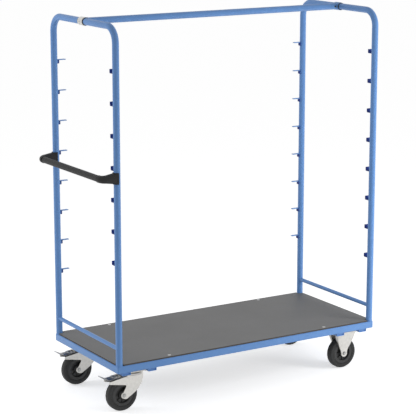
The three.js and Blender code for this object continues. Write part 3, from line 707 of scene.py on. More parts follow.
def back_hook(x, y, inward, z):
    """The tongue of a hook on a back post, its leg, and its welds."""
    tube = settings("tube")
    sheet, radius = tube.hook_thickness, tube.diameter / 2
    root = x + inward * (radius - tube.weld_radius * 0.5)
    face = x + inward * (radius + tube.back_hook_foot)
    tip = x + inward * tube.back_hook_reach
    low = z - tube.back_hook_leg
    half = tube.back_hook_width / 2
    bar = rounded(
        [(root, z), (tip, z), (tip, z - sheet), (root, z - sheet)],
        [sheet * 0.2, sheet * 0.4, sheet * 0.4, sheet * 0.2],
    )
    foot = rounded(
        [(root, z - sheet * 0.5), (face, z - sheet * 0.5), (face, low), (root, low)],
        [0, sheet * 0.2, sheet * 0.8, 0],
    )
    tongue, leg = [
        prism(outline, -half - y, half - y, X_AXIS, Z_AXIS, tube.hook_edge) for outline in (bar, foot)
    ]
    heights = [low + (z - low) * i / 16 for i in range(1, 16)]
    welds = [
        bead([Vector((x + inward * radius, y + side * half, height)) for height in heights], tube.weld_radius)
        for side in SIDES
    ]
    return tongue, leg, welds


class TROLLEY_OT_end_frames(Operator):
    """Bent tubes, hooks and welds of both end frames"""

    bl_idname = "trolley.end_frames"
    bl_label = "End frames"

    def execute(self, context):
        tube = settings("tube")
        for end, inward in ENDS.items():
            x, y, _, top = post_place(end)
            nodes = [f"front_{end}_frame", f"back_{end}_frame"]
            piece(
                f"hoop_{end}", "trolley", "blue_paint", nodes,
                ("blue_powder_coat", [hoop(end), *foot_welds(end)]),
            )
            heights = [top - tube.top_hook_drop - level * tube.hook_pitch for level in range(tube.levels)]
            # The handle end has one front hook fewer than it has levels
            fronts = [front_hook(x, y, z) for z in (heights[:-1] if end == "left" else heights)]
            piece(
                f"front_hooks_{end}", "trolley", "blue_paint", nodes[:1],
                # The front hooks are given the deep blue of painted shade
                ("dipped_vinyl", [hook for hook, _ in fronts]),
                ("blue_powder_coat", [weld for _, welds in fronts for weld in welds]),
            )
            backs = [back_hook(x, -y, inward, z) for z in heights]
            piece(
                f"back_hooks_{end}", "trolley", "blue_paint", nodes[1:],
                ("blue_powder_coat", [shape for tongue, _, welds in backs for shape in (tongue, *welds)]),
                # The legs, in the posts' shade, take the deep blue of painted shade; the lit tongues keep the
                # powder coat
                ("dipped_vinyl", [leg for _, leg, _ in backs]),
            )
        return {"FINISHED"}


class TROLLEY_OT_cross_rails(Operator):
    """Low cross rails of the end frames, coped and welded to the posts"""

    bl_idname = "trolley.cross_rails"
    bl_label = "Cross rails"

    def execute(self, context):
        tube = settings("tube")
        for end in ENDS:
            x, y, _, _ = post_place(end)
            low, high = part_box(f"{end}_cross_rail")
            radius = (high.z - low.z) / 2
            coped = []
            for side in SIDES:
                ring = []
                for u, v in circle(radius, 36):
                    reach = -y - math.sqrt((tube.diameter / 2) ** 2 - u ** 2)
                    ring.append(Vector((x + u, side * reach, low.z + radius + v)))
                coped.append(ring)
            welds = [bead(ring, tube.weld_radius * 1.2, looped=True) for ring in coped]
            piece(
                f"cross_rail_{end}", "trolley", "blue_paint", [f"{end}_cross_rail"],
                ("blue_powder_coat", [skin(coped), *welds]),
            )
        return {"FINISHED"}


# Deck


class TROLLEY_OT_deck_rails(Operator):
    """Folded channel rails of the deck, mitred and welded at the corners"""

    bl_idname = "trolley.deck_rails"
    bl_label = "Deck rails"

    def execute(self, context):
        deck = settings("deck")
        low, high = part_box("front_rail")
        centre_x = (low.x + high.x) / 2
        half_length = (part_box("right_rail")[1].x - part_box("left_rail")[0].x) / 2
        half_width = -low.y
        wall, height = deck.rail_wall, high.z - low.z
        fold, turn = deck.rail_fold, deck.corner_round
        lip, inside = wall * 0.2, fold - wall / 2
        section = rounded(
            [
                (0, 0), (deck.low_flange, 0), (deck.low_flange, wall), (wall, wall),
                (wall, height - wall), (deck.top_flange, height - wall), (deck.top_flange, height),
                (0, height),
            ],
            [fold, lip, lip, inside, inside, lip, lip, fold],
        )
        rings, welds = [], []
        for quarter, (sign_x, sign_y) in enumerate(ROUND):
            for spoke_x, spoke_y in arc((0, 0), 1, 180 + 90 * quarter, 270 + 90 * quarter, 5):
                rings.append([
                    Vector((
                        centre_x + sign_x * (half_length - max(turn, depth)) + max(0, turn - depth) * spoke_x,
                        sign_y * (half_width - max(turn, depth)) + max(0, turn - depth) * spoke_y,
                        low.z + rise,
                    ))
                    for depth, rise in section
                ])
            # A ground bead lies along each mitre
            corner = Vector((centre_x + sign_x * half_length, sign_y * half_width, 0))
            inward = Vector((-sign_x, -sign_y, 0))
            start = corner + inward * fold * 1.5 + Z_AXIS * (high.z - deck.mitre_weld / 2)
            path = [start + inward * (deck.top_flange - fold * 2) * i / 30 for i in range(31)]
            welds.append(bead(path, deck.mitre_weld))
        piece(
            "deck_rails", "trolley", "blue_paint", ["front_rail", "right_rail", "back_rail", "left_rail"],
            ("blue_powder_coat", [skin(rings, closed=True), *welds]),
        )
        return {"FINISHED"}


def beam_outline(low, high, inset, radius):
    """A beam's outline in X and Z, drawn in by a distance."""
    corners = rectangle((low.x + inset, low.z + inset), (high.x - inset, high.z - inset))
    return rounded(corners, radius)


class TROLLEY_OT_caster_beams(Operator):
    """Flat tubes under the rails that carry the casters"""

    bl_idname = "trolley.caster_beams"
    bl_label = "Caster beams"

    def execute(self, context):
        deck = settings("deck")
        wall = deck.beam_wall
        for beam in ("left_outer", "left_inner", "right_inner", "right_outer"):
            low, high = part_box(f"{beam}_beam")
            outside, inside = beam_outline(low, high, 0, wall), beam_outline(low, high, wall, wall * 0.4)
            rings = [
                [Vector((u, y, v)) for u, v in edge]
                for edge, y in ((outside, low.y), (outside, high.y), (inside, high.y), (inside, low.y))
            ]
            # A plate closes each end, a little way in, with a fillet of weld round it
            opening = beam_outline(low, high, wall * 0.9, wall * 0.4)
            shapes = [skin(rings, closed=True)]
            for start, inward in ((low.y, 1), (high.y, -1)):
                depths = (deck.plate_depth, deck.plate_depth + wall)
                plate = [[Vector((u, start + inward * depth, v)) for u, v in opening] for depth in depths]
                shapes += [skin(plate), bead(plate[0], deck.plate_weld, looped=True)]
            piece(f"beam_{beam}", "trolley", "blue_paint", [f"{beam}_beam"], ("blue_powder_coat", shapes))
        return {"FINISHED"}


def board_outline():
    """The board's outline, notched round the posts."""
    deck = settings("deck")
    low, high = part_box("deck_board")
    outline = []
    for sign_x, sign_y in ROUND:
        x = high.x if sign_x > 0 else low.x
        y = high.y if sign_y > 0 else low.y
        post_x, post_y, _, _ = post_place("right" if sign_x > 0 else "left")
        inner_x = post_x - sign_x * deck.notch
        inner_y = sign_y * (abs(post_y) - deck.notch)
        notch = [(x, inner_y), (inner_x, inner_y), (inner_x, y)]
        outline += notch if sign_x == sign_y else notch[::-1]
    return rounded(outline, [2 * MM, 3 * MM, 2 * MM] * 4, 3)


def cross_recess(centre, radius, depth, axis):
    """The arms of a cross recess, as two thin bars set in a screw head; given a dark coat, they paint the
    recess's shade.
    """
    u_axis = axis.orthogonal().normalized()
    v_axis = axis.cross(u_axis)
    outline = rounded(rectangle((-radius, -radius * 0.18), (radius, radius * 0.18)), radius * 0.1)
    return [
        prism(outline, 0, depth, long_axis, short_axis, 0, centre)
        for long_axis, short_axis in ((u_axis, v_axis), (v_axis, u_axis))
    ]


def screw_head(centre, radius, height, axis):
    """A low domed head with a rounded rim, standing from a centre along an axis."""
    shares = ((0, 1), (0.45, 0.97), (0.8, 0.78), (0.97, 0.4), (1, 0), (0, 0))
    profile = [(radius * across, height * up) for across, up in shares]
    return turned(profile, centre, axis, 32, closed=False)


class TROLLEY_OT_deck_board(Operator):
    """Film-faced deck board and the screws that hold it"""

    bl_idname = "trolley.deck_board"
    bl_label = "Deck board"

    def execute(self, context):
        deck = settings("deck")
        low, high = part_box("deck_board")
        points, faces = prism(board_outline(), low.z, high.z, X_AXIS, Y_AXIS, deck.edge_round)
        flat, sides = [], []
        for corners in faces:
            heights = [points[i].z for i in corners]
            (flat if max(heights) - min(heights) < deck.edge_round else sides).append(corners)
        piece(
            "board", "trolley", "board", ["deck_board"],
            ("grey_film_faced_board", [(points, flat)]), ("sealed_plywood_edge", [(points, sides)]),
        )
        for corner in [f"{side}_{end}" for side in ("front", "back") for end in ENDS]:
            centre = middle(f"{corner}_board_screw")
            top = Vector((centre.x, centre.y, high.z - 0.25 * MM))
            recess = cross_recess(top + Z_AXIS * 0.75 * MM, deck.screw_radius * 0.5, 0.3 * MM, Z_AXIS)
            piece(
                f"board_screw_{corner}", "trolley", "zinc", [f"{corner}_board_screw"],
                ("zinc_flake_coat", [screw_head(top, deck.screw_radius, 0.9 * MM, Z_AXIS)]),
                # The dark cross in the head is painted shade for its recess
                ("oiled_bare_steel", recess),
            )
        return {"FINISHED"}


# Tie tube and clamps


class TROLLEY_OT_tie_tube(Operator):
    """Tie tube across the top, coped to its clamps"""

    bl_idname = "trolley.tie_tube"
    bl_label = "Tie tube"

    def execute(self, context):
        tie, radius = settings("tie"), settings("tube").diameter / 2
        clamp_radius = radius + 2 * tie.clamp_gap + tie.clamp_wall
        rings = []
        for end, inward in ENDS.items():
            x, _, _, z = post_place(end)
            rings.append([
                Vector((x + inward * math.sqrt(clamp_radius ** 2 - v ** 2), u, z + v))
                for u, v in circle(radius, 40)
            ])
        piece("tie_tube_top", "trolley", "blue_paint", ["tie_tube"], ("blue_powder_coat", [skin(rings)]))
        return {"FINISHED"}


def half_ring(centre, inner, outer, half_width, facing):
    """Half a ring round a top tube, that ends a little short of the other half."""
    section = rounded(rectangle((inner, -half_width), (outer, half_width)), (outer - inner) * 0.25, 3)
    rings = []
    for u, v in arc((0, 0), 1, -88, 88, 24):
        outward = X_AXIS * facing * u + Z_AXIS * v
        rings.append([centre + outward * r + Y_AXIS * w for r, w in section])
    return skin(rings)


class TROLLEY_OT_tie_clamps(Operator):
    """Clamps that hold the tie tube to the top tubes, with their screws"""

    bl_idname = "trolley.tie_clamps"
    bl_label = "Tie clamps"

    def execute(self, context):
        tie, radius = settings("tie"), settings("tube").diameter / 2
        inner = radius + tie.clamp_gap
        outer = inner + tie.clamp_wall
        half = tie.clamp_width / 2
        # The rim where the saddle grips the end of the tie tube
        rim = rounded(rectangle((radius - 3 * MM, 0), (radius + 1.2 * MM, 5 * MM)), 0.6 * MM, 2)
        # A black sleeve round the top tube stands out of each end of the clamp and paints the shadow in the
        # gap there
        reach = half + tie.shade_sleeve_reach
        sleeve = rounded(rectangle((radius, -reach), (outer - 1.5 * MM, reach)), 0.8 * MM, 2)
        for end, inward in ENDS.items():
            x, _, _, z = post_place(end)
            centre = Vector((x, 0, z))
            inwards = X_AXIS * inward
            piece(
                f"tie_saddle_{end}", "trolley", "blue_paint", [f"{end}_tie_saddle"],
                ("blue_powder_coat", [
                    half_ring(centre, inner, outer, half, inward),
                    turned(rim, centre + inwards * (outer - 1 * MM), inwards, 40),
                ]),
                ("black_polypropylene", [turned(sleeve, centre, Y_AXIS, 40)]),
            )
            button = screw_head(centre - inwards * (outer - 1.2 * MM), 4 * MM, 1.2 * MM, -inwards)
            piece(
                f"tie_strap_{end}", "trolley", "zinc", [f"{end}_tie_strap"],
                ("bright_zinc_plate", [half_ring(centre, inner, outer, half, -inward)]),
                ("oiled_bare_steel", [button]),
            )
            seat = centre + inwards * tie.screw_offset - Y_AXIS * (radius - 0.3 * MM)
            recess = cross_recess(seat - Y_AXIS * 2.6 * MM, tie.screw_radius * 0.55, 0.5 * MM, -Y_AXIS)
            piece(
                f"tie_screw_{end}", "trolley", "zinc", [f"{end}_tie_screw"],
                ("oiled_bare_steel", [screw_head(seat, tie.screw_radius, 3 * MM, -Y_AXIS), *recess]),
            )
        return {"FINISHED"}


# Push handle


def oval(centre, across, half_across, half_up, power, count=40):
    """Points of an oval that turns into a rounded rectangle as its power falls."""
    points = []
    for u, v in circle(1, count):
        u, v = math.copysign(abs(u) ** power, u), math.copysign(abs(v) ** power, v)
        points.append(centre + across * half_across * u + Z_AXIS * half_up * v)
    return points


def handle_bracket(side):
    """Elbow and flared arm of a bracket, from the grip to the collar on the post."""
    handle, post_radius = settings("handle"), settings("tube").diameter / 2
    x, y, _, _ = post_place("left")
    y = side * abs(y)
    bar = middle("handle_bar")
    bend, radius = handle.elbow_bend, handle.elbow_diameter / 2
    low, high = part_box("front_handle_bracket")
    # The arm is a little slimmer than the elbow's mouth, and meets the collar short of its ends
    slim, arm_rise = radius * 0.97, (high.z - low.z) / 2 - handle.collar_lip
    seat = post_radius + handle.collar_wall * 0.5
    across_end = post_radius + handle.collar_wall * 0.75
    # How much of the arm's growth is already reached at the end of the elbow
    grown = 0.3
    start = Vector((bar.x, y - side * bend, bar.z))
    # The elbow's mouth has a rounded lip round the grip
    rings = [
        oval(start - Y_AXIS * side * back, X_AXIS, radius * swell, radius * swell, 1)
        for back, swell in ((9 * MM, 0.93), (8.4 * MM, 1), (3 * MM, 1), (2.2 * MM, 0.97))
    ]
    corner = Vector((bar.x + bend, y - side * bend, bar.z))
    for i in range(1, 13):
        angle = math.pi / 2 * i / 12
        outward = -X_AXIS * math.cos(angle) + Y_AXIS * side * math.sin(angle)
        half_up = slim + (arm_rise - slim) * grown * i / 12
        rings.append(oval(corner + outward * bend, -outward, slim, half_up, 1))
    arm = Vector((bar.x + bend, y, bar.z))
    for i in range(1, 15):
        share = i / 14
        flare = grown + (1 - grown) * share
        half_up = slim + (arm_rise - slim) * flare
        half_across = slim + (across_end - slim) * flare
        points = oval(arm, -Y_AXIS * side, half_across, half_up, 1 - 0.6 * share)
        for point in points:
            curve = math.sqrt(max(0, seat ** 2 - (point.y - y) ** 2))
            point.x = arm.x + (x - arm.x - curve) * share
        rings.append(points)
    return skin(rings)


def handle_collar(side):
    """Half collar that clasps the post, with a rounded outer edge."""
    x, y, _, _ = post_place("left")
    low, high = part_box("front_handle_bracket")
    inner = settings("tube").diameter / 2 + 0.3 * MM
    outer = inner + settings("handle").collar_wall
    radii = [0.4 * MM, 1.6 * MM, 1.6 * MM, 0.4 * MM]
    section = rounded(rectangle((inner, low.z), (outer, high.z)), radii)
    post = Vector((x, side * abs(y), 0))
    return skin([
        [post + (X_AXIS * u + Y_AXIS * v) * r + Z_AXIS * z for r, z in section]
        for u, v in arc((0, 0), 1, 90, 270, 28)
    ])


class TROLLEY_OT_push_handle(Operator):
    """Ridged grip and the two moulded brackets that clasp the posts"""

    bl_idname = "trolley.push_handle"
    bl_label = "Push handle"

    def execute(self, context):
        handle = settings("handle")
        low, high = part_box("handle_bar")
        bar = middle("handle_bar")
        section = []
        count = handle.ridges * 6
        for i, (u, v) in enumerate(circle(1, count)):
            groove = (0.5 + 0.5 * math.cos(handle.ridges * 2 * math.pi * i / count)) ** 3
            radius = handle.bar_diameter / 2 - handle.ridge_depth * groove
            section.append((radius * u, radius * v))
        rings = [placed(section, Vector((bar.x, y, bar.z)), X_AXIS, Z_AXIS) for y in (low.y, high.y)]
        piece("grip", "trolley", "black_plastic", ["handle_bar"], ("black_polyamide", [skin(rings)]))
        for corner, side in (("front", -1), ("back", 1)):
            piece(
                f"handle_bracket_{corner}", "trolley", "black_plastic", [f"{corner}_handle_bracket"],
                ("black_polyamide", [handle_bracket(side), handle_collar(side)]),
            )
        return {"FINISHED"}


# Wheels


def tyre_shape(centre):
    """A tyre with a crowned tread, rounded shoulders and a moulded line on each wall."""
    caster = settings("caster")
    radius, half = caster.wheel_radius, caster.tyre_width / 2
    inner = radius - caster.tyre_depth
    side = [
        (inner, half), (inner + 4 * MM, half), (inner + 5 * MM, half - 0.8 * MM), (inner + 6 * MM, half),
        (radius - 5 * MM, half), (radius, half * 0.62),
    ]
    radii = [0.5, 0.3, 0.3, 0.3, 4, 6]
    radii = [r * MM for r in (*radii, 20, *radii[::-1])]
    return turned(rounded(mirrored(side, (radius, 0)), radii), centre, Y_AXIS, 72)


def rim_shape(centre):
    """A moulded rim with a flat flange, a dish in each side and a raised hub."""
    caster = settings("caster")
    outer = caster.wheel_radius - caster.tyre_depth - 0.4 * MM
    half = caster.tyre_width / 2 - 0.5 * MM
    dish, hub = caster.dish_radius, caster.hub_radius
    half_hub, bore, web = caster.hub_length / 2, 13.2 * MM, half * 0.35
    side = [
        (bore, half_hub), (hub - 2 * MM, half_hub), (hub, half_hub - 5 * MM), (hub + 1 * MM, web),
        (dish - 4 * MM, web), (dish, half), (outer - 3 * MM, half), (outer, half - 1.5 * MM),
    ]
    return turned(rounded(mirrored(side), 0.8 * MM, 3), centre, Y_AXIS, 72)


def dish_ribs(centre):
    """Radial ribs in the dish of a rim, on both sides."""
    caster = settings("caster")
    half = caster.tyre_width / 2
    start, stop = caster.hub_radius, caster.dish_radius - 2 * MM
    ribs = []
    for i in range(8):
        turn = Matrix.Translation(centre) @ Matrix.Rotation(2 * math.pi * i / 8, 4, "Y")
        for low, high in ((half * 0.3, half * 0.62), (-half * 0.62, -half * 0.3)):
            outline = rounded(rectangle((start, low), (stop, high)), 0.6 * MM, 2)
            points, faces = prism(outline, -1.2 * MM, 1.2 * MM, X_AXIS, Y_AXIS, 0.4 * MM)
            ribs.append(([turn @ point for point in points], faces))
    return ribs


def bearing_shape(centre):
    """The end sleeve of a bearing with its seal ring, through the hub."""
    half = settings("caster").hub_length / 2
    side = [
        (6.3 * MM, half), (10 * MM, half), (10.6 * MM, half - 1 * MM), (13 * MM, half - 1 * MM),
    ]
    return turned(mirrored(side), centre, Y_AXIS, 40)


class TROLLEY_OT_wheels(Operator):
    """Tyres, rims and bearings of the four wheels"""

    bl_idname = "trolley.wheels"
    bl_label = "Wheels"

    def execute(self, context):
        for corner in SWIVELS + FIXED:
            centre = middle(f"{corner}_tyre")
            for part, slot, coat, shapes in (
                ("tyre", "tyre", "solid_grey_rubber", [tyre_shape(centre)]),
                ("rim", "black_plastic", "black_polypropylene", [rim_shape(centre), *dish_ribs(centre)]),
                ("bearing", "zinc", "bright_zinc_plate", [bearing_shape(centre)]),
            ):
                piece(f"{part}_{corner}", f"{corner}_wheel", slot, [f"{corner}_{part}"], (coat, shapes))
        return {"FINISHED"}


# Forks, plates and axles


def bolt(centre, axis, radius, height, washer):
    """A hexagon head with its washer and a chamfered top, standing along an axis."""
    u_axis = axis.orthogonal().normalized()
    v_axis = axis.cross(u_axis)
    chamfer = radius * 0.08
    hexagon = rounded(circle(radius, 6), chamfer, 2)
    disc = [(0, 0), (radius * 1.2, 0), (radius * 1.25, washer * 0.5), (radius * 1.2, washer), (0, washer)]
    top = height + 0.6 * MM
    crown = [(0, height), (radius * 0.6, height), (radius * 0.55, top), (0, top)]
    return [
        prism(hexagon, washer, height, u_axis, v_axis, chamfer, centre),
        *[turned(profile, centre, axis, 32, closed=False) for profile in (disc, crown)],
    ]


def axle_shapes(centre):
    """An axle bolt: its shank, and a head and a nut outside the fork."""
    caster = settings("caster")
    half = caster.fork_inside / 2 + caster.fork_wall
    shapes = [turned(mirrored([(0, half), (6 * MM, half)]), centre, Y_AXIS, 32, closed=False)]
    for side in SIDES:
        shapes += bolt(centre + Y_AXIS * side * half, Y_AXIS * side, 8.2 * MM, 4.4 * MM, 0.9 * MM)
    return shapes


def cheek(outline, rim, ring, sink, axle, side):
    """One cheek of a fork from its outline in X and Z, with a pressed ring sunk in it at the axle."""
    caster = settings("caster")
    inside = caster.fork_inside / 2
    outside = inside + caster.fork_wall
    low, high = sorted((-axle.y - side * inside, -axle.y - side * outside))
    face = Vector((axle.x, axle.y + side * (outside - sink * MM), axle.z))
    profile = [(radius * MM, depth * MM) for radius, depth in ring]
    return [prism(outline, low, high, X_AXIS, Z_AXIS, rim), turned(profile, face, Y_AXIS * side, 40)]


def swivel_outline(axle, pivot_x, crown_top, pin):
    """Outline of a swivel fork's cheek in X and Z: a leg to the axle and an arm over the wheel."""
    caster = settings("caster")
    wheel, crown, boss = caster.wheel_radius, caster.crown_radius, caster.swivel_boss
    front = ((0.98, 2.05), (0.95, 1.91), (0.84, 1.67), (0.52, 1.325), (0.16, 1.12))
    arm = ((0.2, 1.62), (-0.98, 1.84), (-0.98, 1.98))
    points = [
        (pivot_x + 0.98 * crown, crown_top),
        *[(pivot_x + across * crown, up * wheel) for across, up in front],
        *arc((axle.x + 10 * MM, axle.z + 2 * MM), boss, -45, -180, 10),
        *[(axle.x + across * wheel, up * wheel) for across, up in arm],
        (axle.x, pin.z + 5 * MM),
        (pin.x, pin.z + 8 * MM),
        (pivot_x - 0.43 * crown, crown_top),
    ]
    radii = [1, 8, 12, 16, 16, 16, *[0] * 11, 5, 3, 3, 20, 8, 4]
    return rounded(points, [r * MM for r in radii], 6)


def swivel_fork_shapes(corner):
    """Cheeks, crown and pressed rings of a swivel fork."""
    caster = settings("caster")
    axle, pin = middle(f"{corner}_tyre"), middle(f"{corner}_brake_pin")
    pivot = middle(f"{corner}_king_pin")
    crown_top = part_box(f"{corner}_fork")[1].z
    outline = swivel_outline(axle, pivot.x, crown_top, pin)
    ring = ((9.5, -0.3), (15, -0.3), (13.5, 0.8), (10.5, 0.8))
    shapes = [shape for side in SIDES for shape in cheek(outline, 1.1 * MM, ring, 0.6, axle, side)]
    # The crown is drawn to a skirt that ends in a rolled lip
    crown, skirt, wall, bore = caster.crown_radius, caster.crown_skirt, caster.fork_wall, 7 * MM
    profile = rounded([
        (bore, -wall), (crown - wall, -wall), (crown - wall, -skirt), (crown, -skirt),
        (crown, 2 * MM - skirt), (crown - 1.2 * MM, 3.4 * MM - skirt), (crown - 1.2 * MM, -4 * MM),
        (crown - 5 * MM, 0), (bore, 0),
    ], [r * MM for r in (0, 3, 0.8, 0.8, 0.4, 0.6, 3, 2, 0)], 3)
    shapes.append(turned(profile, Vector((pivot.x, pivot.y, crown_top)), Z_AXIS, 64))
    return shapes


def plate_shapes(centre_x, centre_y, low, high):
    """A top plate with rounded corners, and the bolts that hold it to the beams."""
    caster = settings("caster")
    half = Vector((caster.plate_length, caster.plate_width)) / 2
    centre = Vector((centre_x, centre_y))
    outline = rounded(rectangle(centre - half, centre + half), 9 * MM, 6)
    shapes = [prism(outline, low, high, X_AXIS, Y_AXIS, 0.8 * MM)]
    for sign_x, sign_y in product(SIDES, SIDES):
        across, along = sign_x * (half.x - caster.bolt_inset), sign_y * (half.y - caster.bolt_inset)
        place = Vector((centre_x + across, centre_y + along, low))
        shapes += bolt(place, -Z_AXIS, 6.5 * MM, 5.5 * MM, 1.2 * MM)
    return shapes


class TROLLEY_OT_swivel_casters(Operator):
    """Top plates, races, king pins, forks, axles and brake pins of the swivel casters"""

    bl_idname = "trolley.swivel_casters"
    bl_label = "Swivel casters"

    def execute(self, context):
        caster = settings("caster")
        half = caster.fork_inside / 2 + caster.fork_wall
        for corner in SWIVELS:
            pivot, pin = middle(f"{corner}_king_pin"), middle(f"{corner}_brake_pin")
            upright = Vector((pivot.x, pivot.y, 0))
            low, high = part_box(f"{corner}_caster_plate")
            under, race = high.z - caster.plate_thickness, caster.race_radius
            race_shape = turned(rounded([
                (7 * MM, under), (race, under), (race, under - 2.2 * MM),
                (race - 1.6 * MM, under - 3 * MM), (race, under - 3.8 * MM),
                (race - 0.5 * MM, low.z), (7 * MM, low.z),
            ], 0.4 * MM, 2), upright, Z_AXIS, 64)
            plate, *bolts = plate_shapes(pivot.x, pivot.y, under, high.z)
            foot, top = [end.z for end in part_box(f"{corner}_king_pin")]
            head = foot + 7 * MM
            shank = turned([
                (0, foot), (10 * MM, foot), (12.5 * MM, foot + 2 * MM), (12.5 * MM, head),
                (6 * MM, head), (6 * MM, top), (0, top),
            ], upright, Z_AXIS, 40, closed=False)
            bulge = half + 1.2 * MM
            rivet = turned(
                mirrored([(0, bulge), (3.5 * MM, bulge), (5.5 * MM, half), (4 * MM, half)]),
                pin, Y_AXIS, 24, closed=False,
            )
            for part, body, coat, shapes in (
                ("caster_plate", "trolley", "bright_zinc_plate", [plate, race_shape, *bolts]),
                ("king_pin", "trolley", "bright_zinc_plate", [shank]),
                ("fork", f"{corner}_swivel", "bright_zinc_plate", swivel_fork_shapes(corner)),
                ("axle", f"{corner}_swivel", "bolt_zinc_plate", axle_shapes(middle(f"{corner}_axle"))),
                ("brake_pin", f"{corner}_swivel", "bright_zinc_plate", [rivet]),
            ):
                piece(f"{part}_{corner}", body, "zinc", [f"{corner}_{part}"], (coat, shapes))
        return {"FINISHED"}


# Brakes


def lever_bend(corner):
    """X of a lever's bend, and the distance on each side of it over which the bend is eased."""
    return middle(f"{corner}_tyre").x - 0.95 * settings("caster").wheel_radius, 5 * MM


def lever_underside(corner):
    """A function of X that gives a lever's underside, which falls to a bend and rises to the foot."""
    caster = settings("caster")
    low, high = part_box(f"{corner}_brake_lever")
    pin = middle(f"{corner}_brake_pin")
    bend, blend = lever_bend(corner)
    root = pin.z + pin.z - low.z
    bottom = root - caster.lever_fall
    fall = (root - bottom) / (pin.x - bend)
    rise = (high.z - caster.lever_sheet - bottom) / (bend - low.x)

    def low_at(x):
        """Height of the underside, with the bend eased over a short way."""
        ease = max(0, blend - abs(x - bend)) ** 2 / (4 * blend)
        return max(root - (pin.x - x) * fall, bottom + (bend - x) * rise) + ease * (fall + rise)

    return low_at


def lever_strip(pin, stations, lift, sheet, low_at):
    """A strip along the lever from stations of X and half width, at a lift above its underside."""
    rings = []
    for x, half in stations:
        section = rounded(rectangle((-half, 0), (half, sheet)), sheet * 0.3, 2)
        rings.append([Vector((x, pin.y + v, low_at(x) + lift + w)) for v, w in section])
    return skin(rings)


def lever_shapes(corner, low_at):
    """A pressed lever with a neck, a wide foot, and an ear on each side of its pin."""
    caster = settings("caster")
    low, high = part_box(f"{corner}_brake_lever")
    pin = middle(f"{corner}_brake_pin")
    bend, blend = lever_bend(corner)
    sheet, neck, foot = caster.lever_sheet, caster.lever_neck / 2, low.x + caster.lever_foot
    wide, ear_radius, root = (high.y - low.y) / 2, pin.z - low.z, pin.x + 1.5 * MM
    stations = [
        (root, neck - 2 * MM), (root - 1 * MM, neck - 0.6 * MM), (root - 3 * MM, neck),
        (bend + 12 * MM, neck),
        *[(bend + blend - i * blend / 4, neck) for i in range(9)],
        (foot + 5 * MM, neck + 0.5 * MM), (foot + 2 * MM, neck + 2 * MM),
        (foot - 1 * MM, wide - 3 * MM), (foot - 4 * MM, wide - 0.4 * MM),
        (foot - 6 * MM, wide), (low.x + 5 * MM, wide),
        (low.x + 2 * MM, wide - 1.2 * MM), (low.x + 0.6 * MM, wide - 3 * MM), (low.x, wide - 5 * MM),
    ]
    shapes = [lever_strip(pin, stations, 0, sheet, low_at)]
    tail = pin.x - 2.5 * ear_radius
    ear = rounded([
        (pin.x + ear_radius, pin.z), (pin.x + 5.5 * MM, pin.z - 5.5 * MM), (pin.x, pin.z - ear_radius),
        (pin.x - 6 * MM, pin.z - 5 * MM), (tail, low_at(tail) + sheet * 0.5),
        (pin.x + 1 * MM, pin.z + ear_radius + sheet * 0.5),
    ], [r * MM for r in (3, 4, 5, 4, 1, 3)], 5)
    for side in SIDES:
        depths = sorted((-pin.y - side * (neck - sheet), -pin.y - side * neck))
        shapes.append(prism(ear, *depths, X_AXIS, Z_AXIS, 0.6 * MM))
    return shapes


def step_shapes(corner, low_at):
    """The step on a lever, a pressed frame of two sides with three bars between them."""
    low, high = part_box(f"{corner}_brake_tread")
    pin = middle(f"{corner}_brake_pin")
    half, height = (high.y - low.y) / 2, settings("caster").step_height
    lift = low.z - low_at(low.x)
    shapes = []
    for shares in ((0, 0.16), (0.42, 0.56), (0.84, 1)):
        stations = [(high.x - (high.x - low.x) * share, half) for share in shares]
        shapes.append(lever_strip(pin, stations, lift, height, low_at))
    outline = rounded(rectangle((0, 0), (5 * MM, height)), 1.2 * MM, 2)
    for side in SIDES:
        shapes.append(skin([
            [Vector((x, pin.y + side * (half - v), low_at(x) + lift + w)) for v, w in outline]
            for x in (high.x, low.x)
        ]))
    return shapes


class TROLLEY_OT_brakes(Operator):
    """Foot levers of the brakes, which fall to a bend and rise to a wide foot, with their steps"""

    bl_idname = "trolley.brakes"
    bl_label = "Brakes"

    def execute(self, context):
        for corner in SWIVELS:
            low_at = lever_underside(corner)
            for part, node, coat, shapes in (
                # The levers' darker zinc is painted shade and reflection; the steps keep the bright zinc
                ("lever", "lever", "dark_zinc_plate", lever_shapes(corner, low_at)),
                ("step", "tread", "bright_zinc_plate", step_shapes(corner, low_at)),
            ):
                piece(
                    f"brake_{part}_{corner}", f"{corner}_brake", "zinc", [f"{corner}_brake_{node}"],
                    (coat, shapes),
                )
        return {"FINISHED"}


# Fixed casters


def fixed_leg(axle, side, top):
    """A pressed leg: a face that flares above a knee, with flanges folded in along both edges."""
    caster = settings("caster")
    wall, near = caster.fork_wall, caster.fork_inside / 2 + caster.fork_wall
    knee_rise, fold = 30, 4 * MM
    knee = axle.z + knee_rise * MM
    # How far out the face stands at its top, the widest and narrowest flange, and what a flange clears
    far, widest, narrowest, clear = 50 * MM, 28 * MM, 0.2 * MM, 21 * MM
    slope = (far - near) / (top - knee)
    widths = (
        (-2, 17.6), (14, 20.8), (22, 24.4), (knee_rise, 28.8), (42, 34.6), (60, 42), (85, 50), (104, 54),
    )
    rings = []
    for height, half in [*[(axle.z + up * MM, wide * MM) for up, wide in widths], (top, 58.5 * MM)]:
        out = near + max(0, height - knee) * slope
        flange = max(narrowest, min(widest, out - wall - clear)) if height > knee else narrowest
        outer = [
            (half, out - fold - flange), (half, out - fold), (half - fold * 0.3, out - fold * 0.3),
            (half - fold, out),
        ]
        inner = [
            (half - wall * 0.8, out - fold - flange), (half - wall * 0.8, out - fold),
            (half - wall, out - wall * 0.9), (half - fold, out - wall),
        ]
        section = [(-u, v) for u, v in outer] + outer[::-1] + inner + [(-u, v) for u, v in inner[::-1]]
        rings.append([Vector((axle.x + u, axle.y + side * v, height)) for u, v in section])
    return skin(rings)


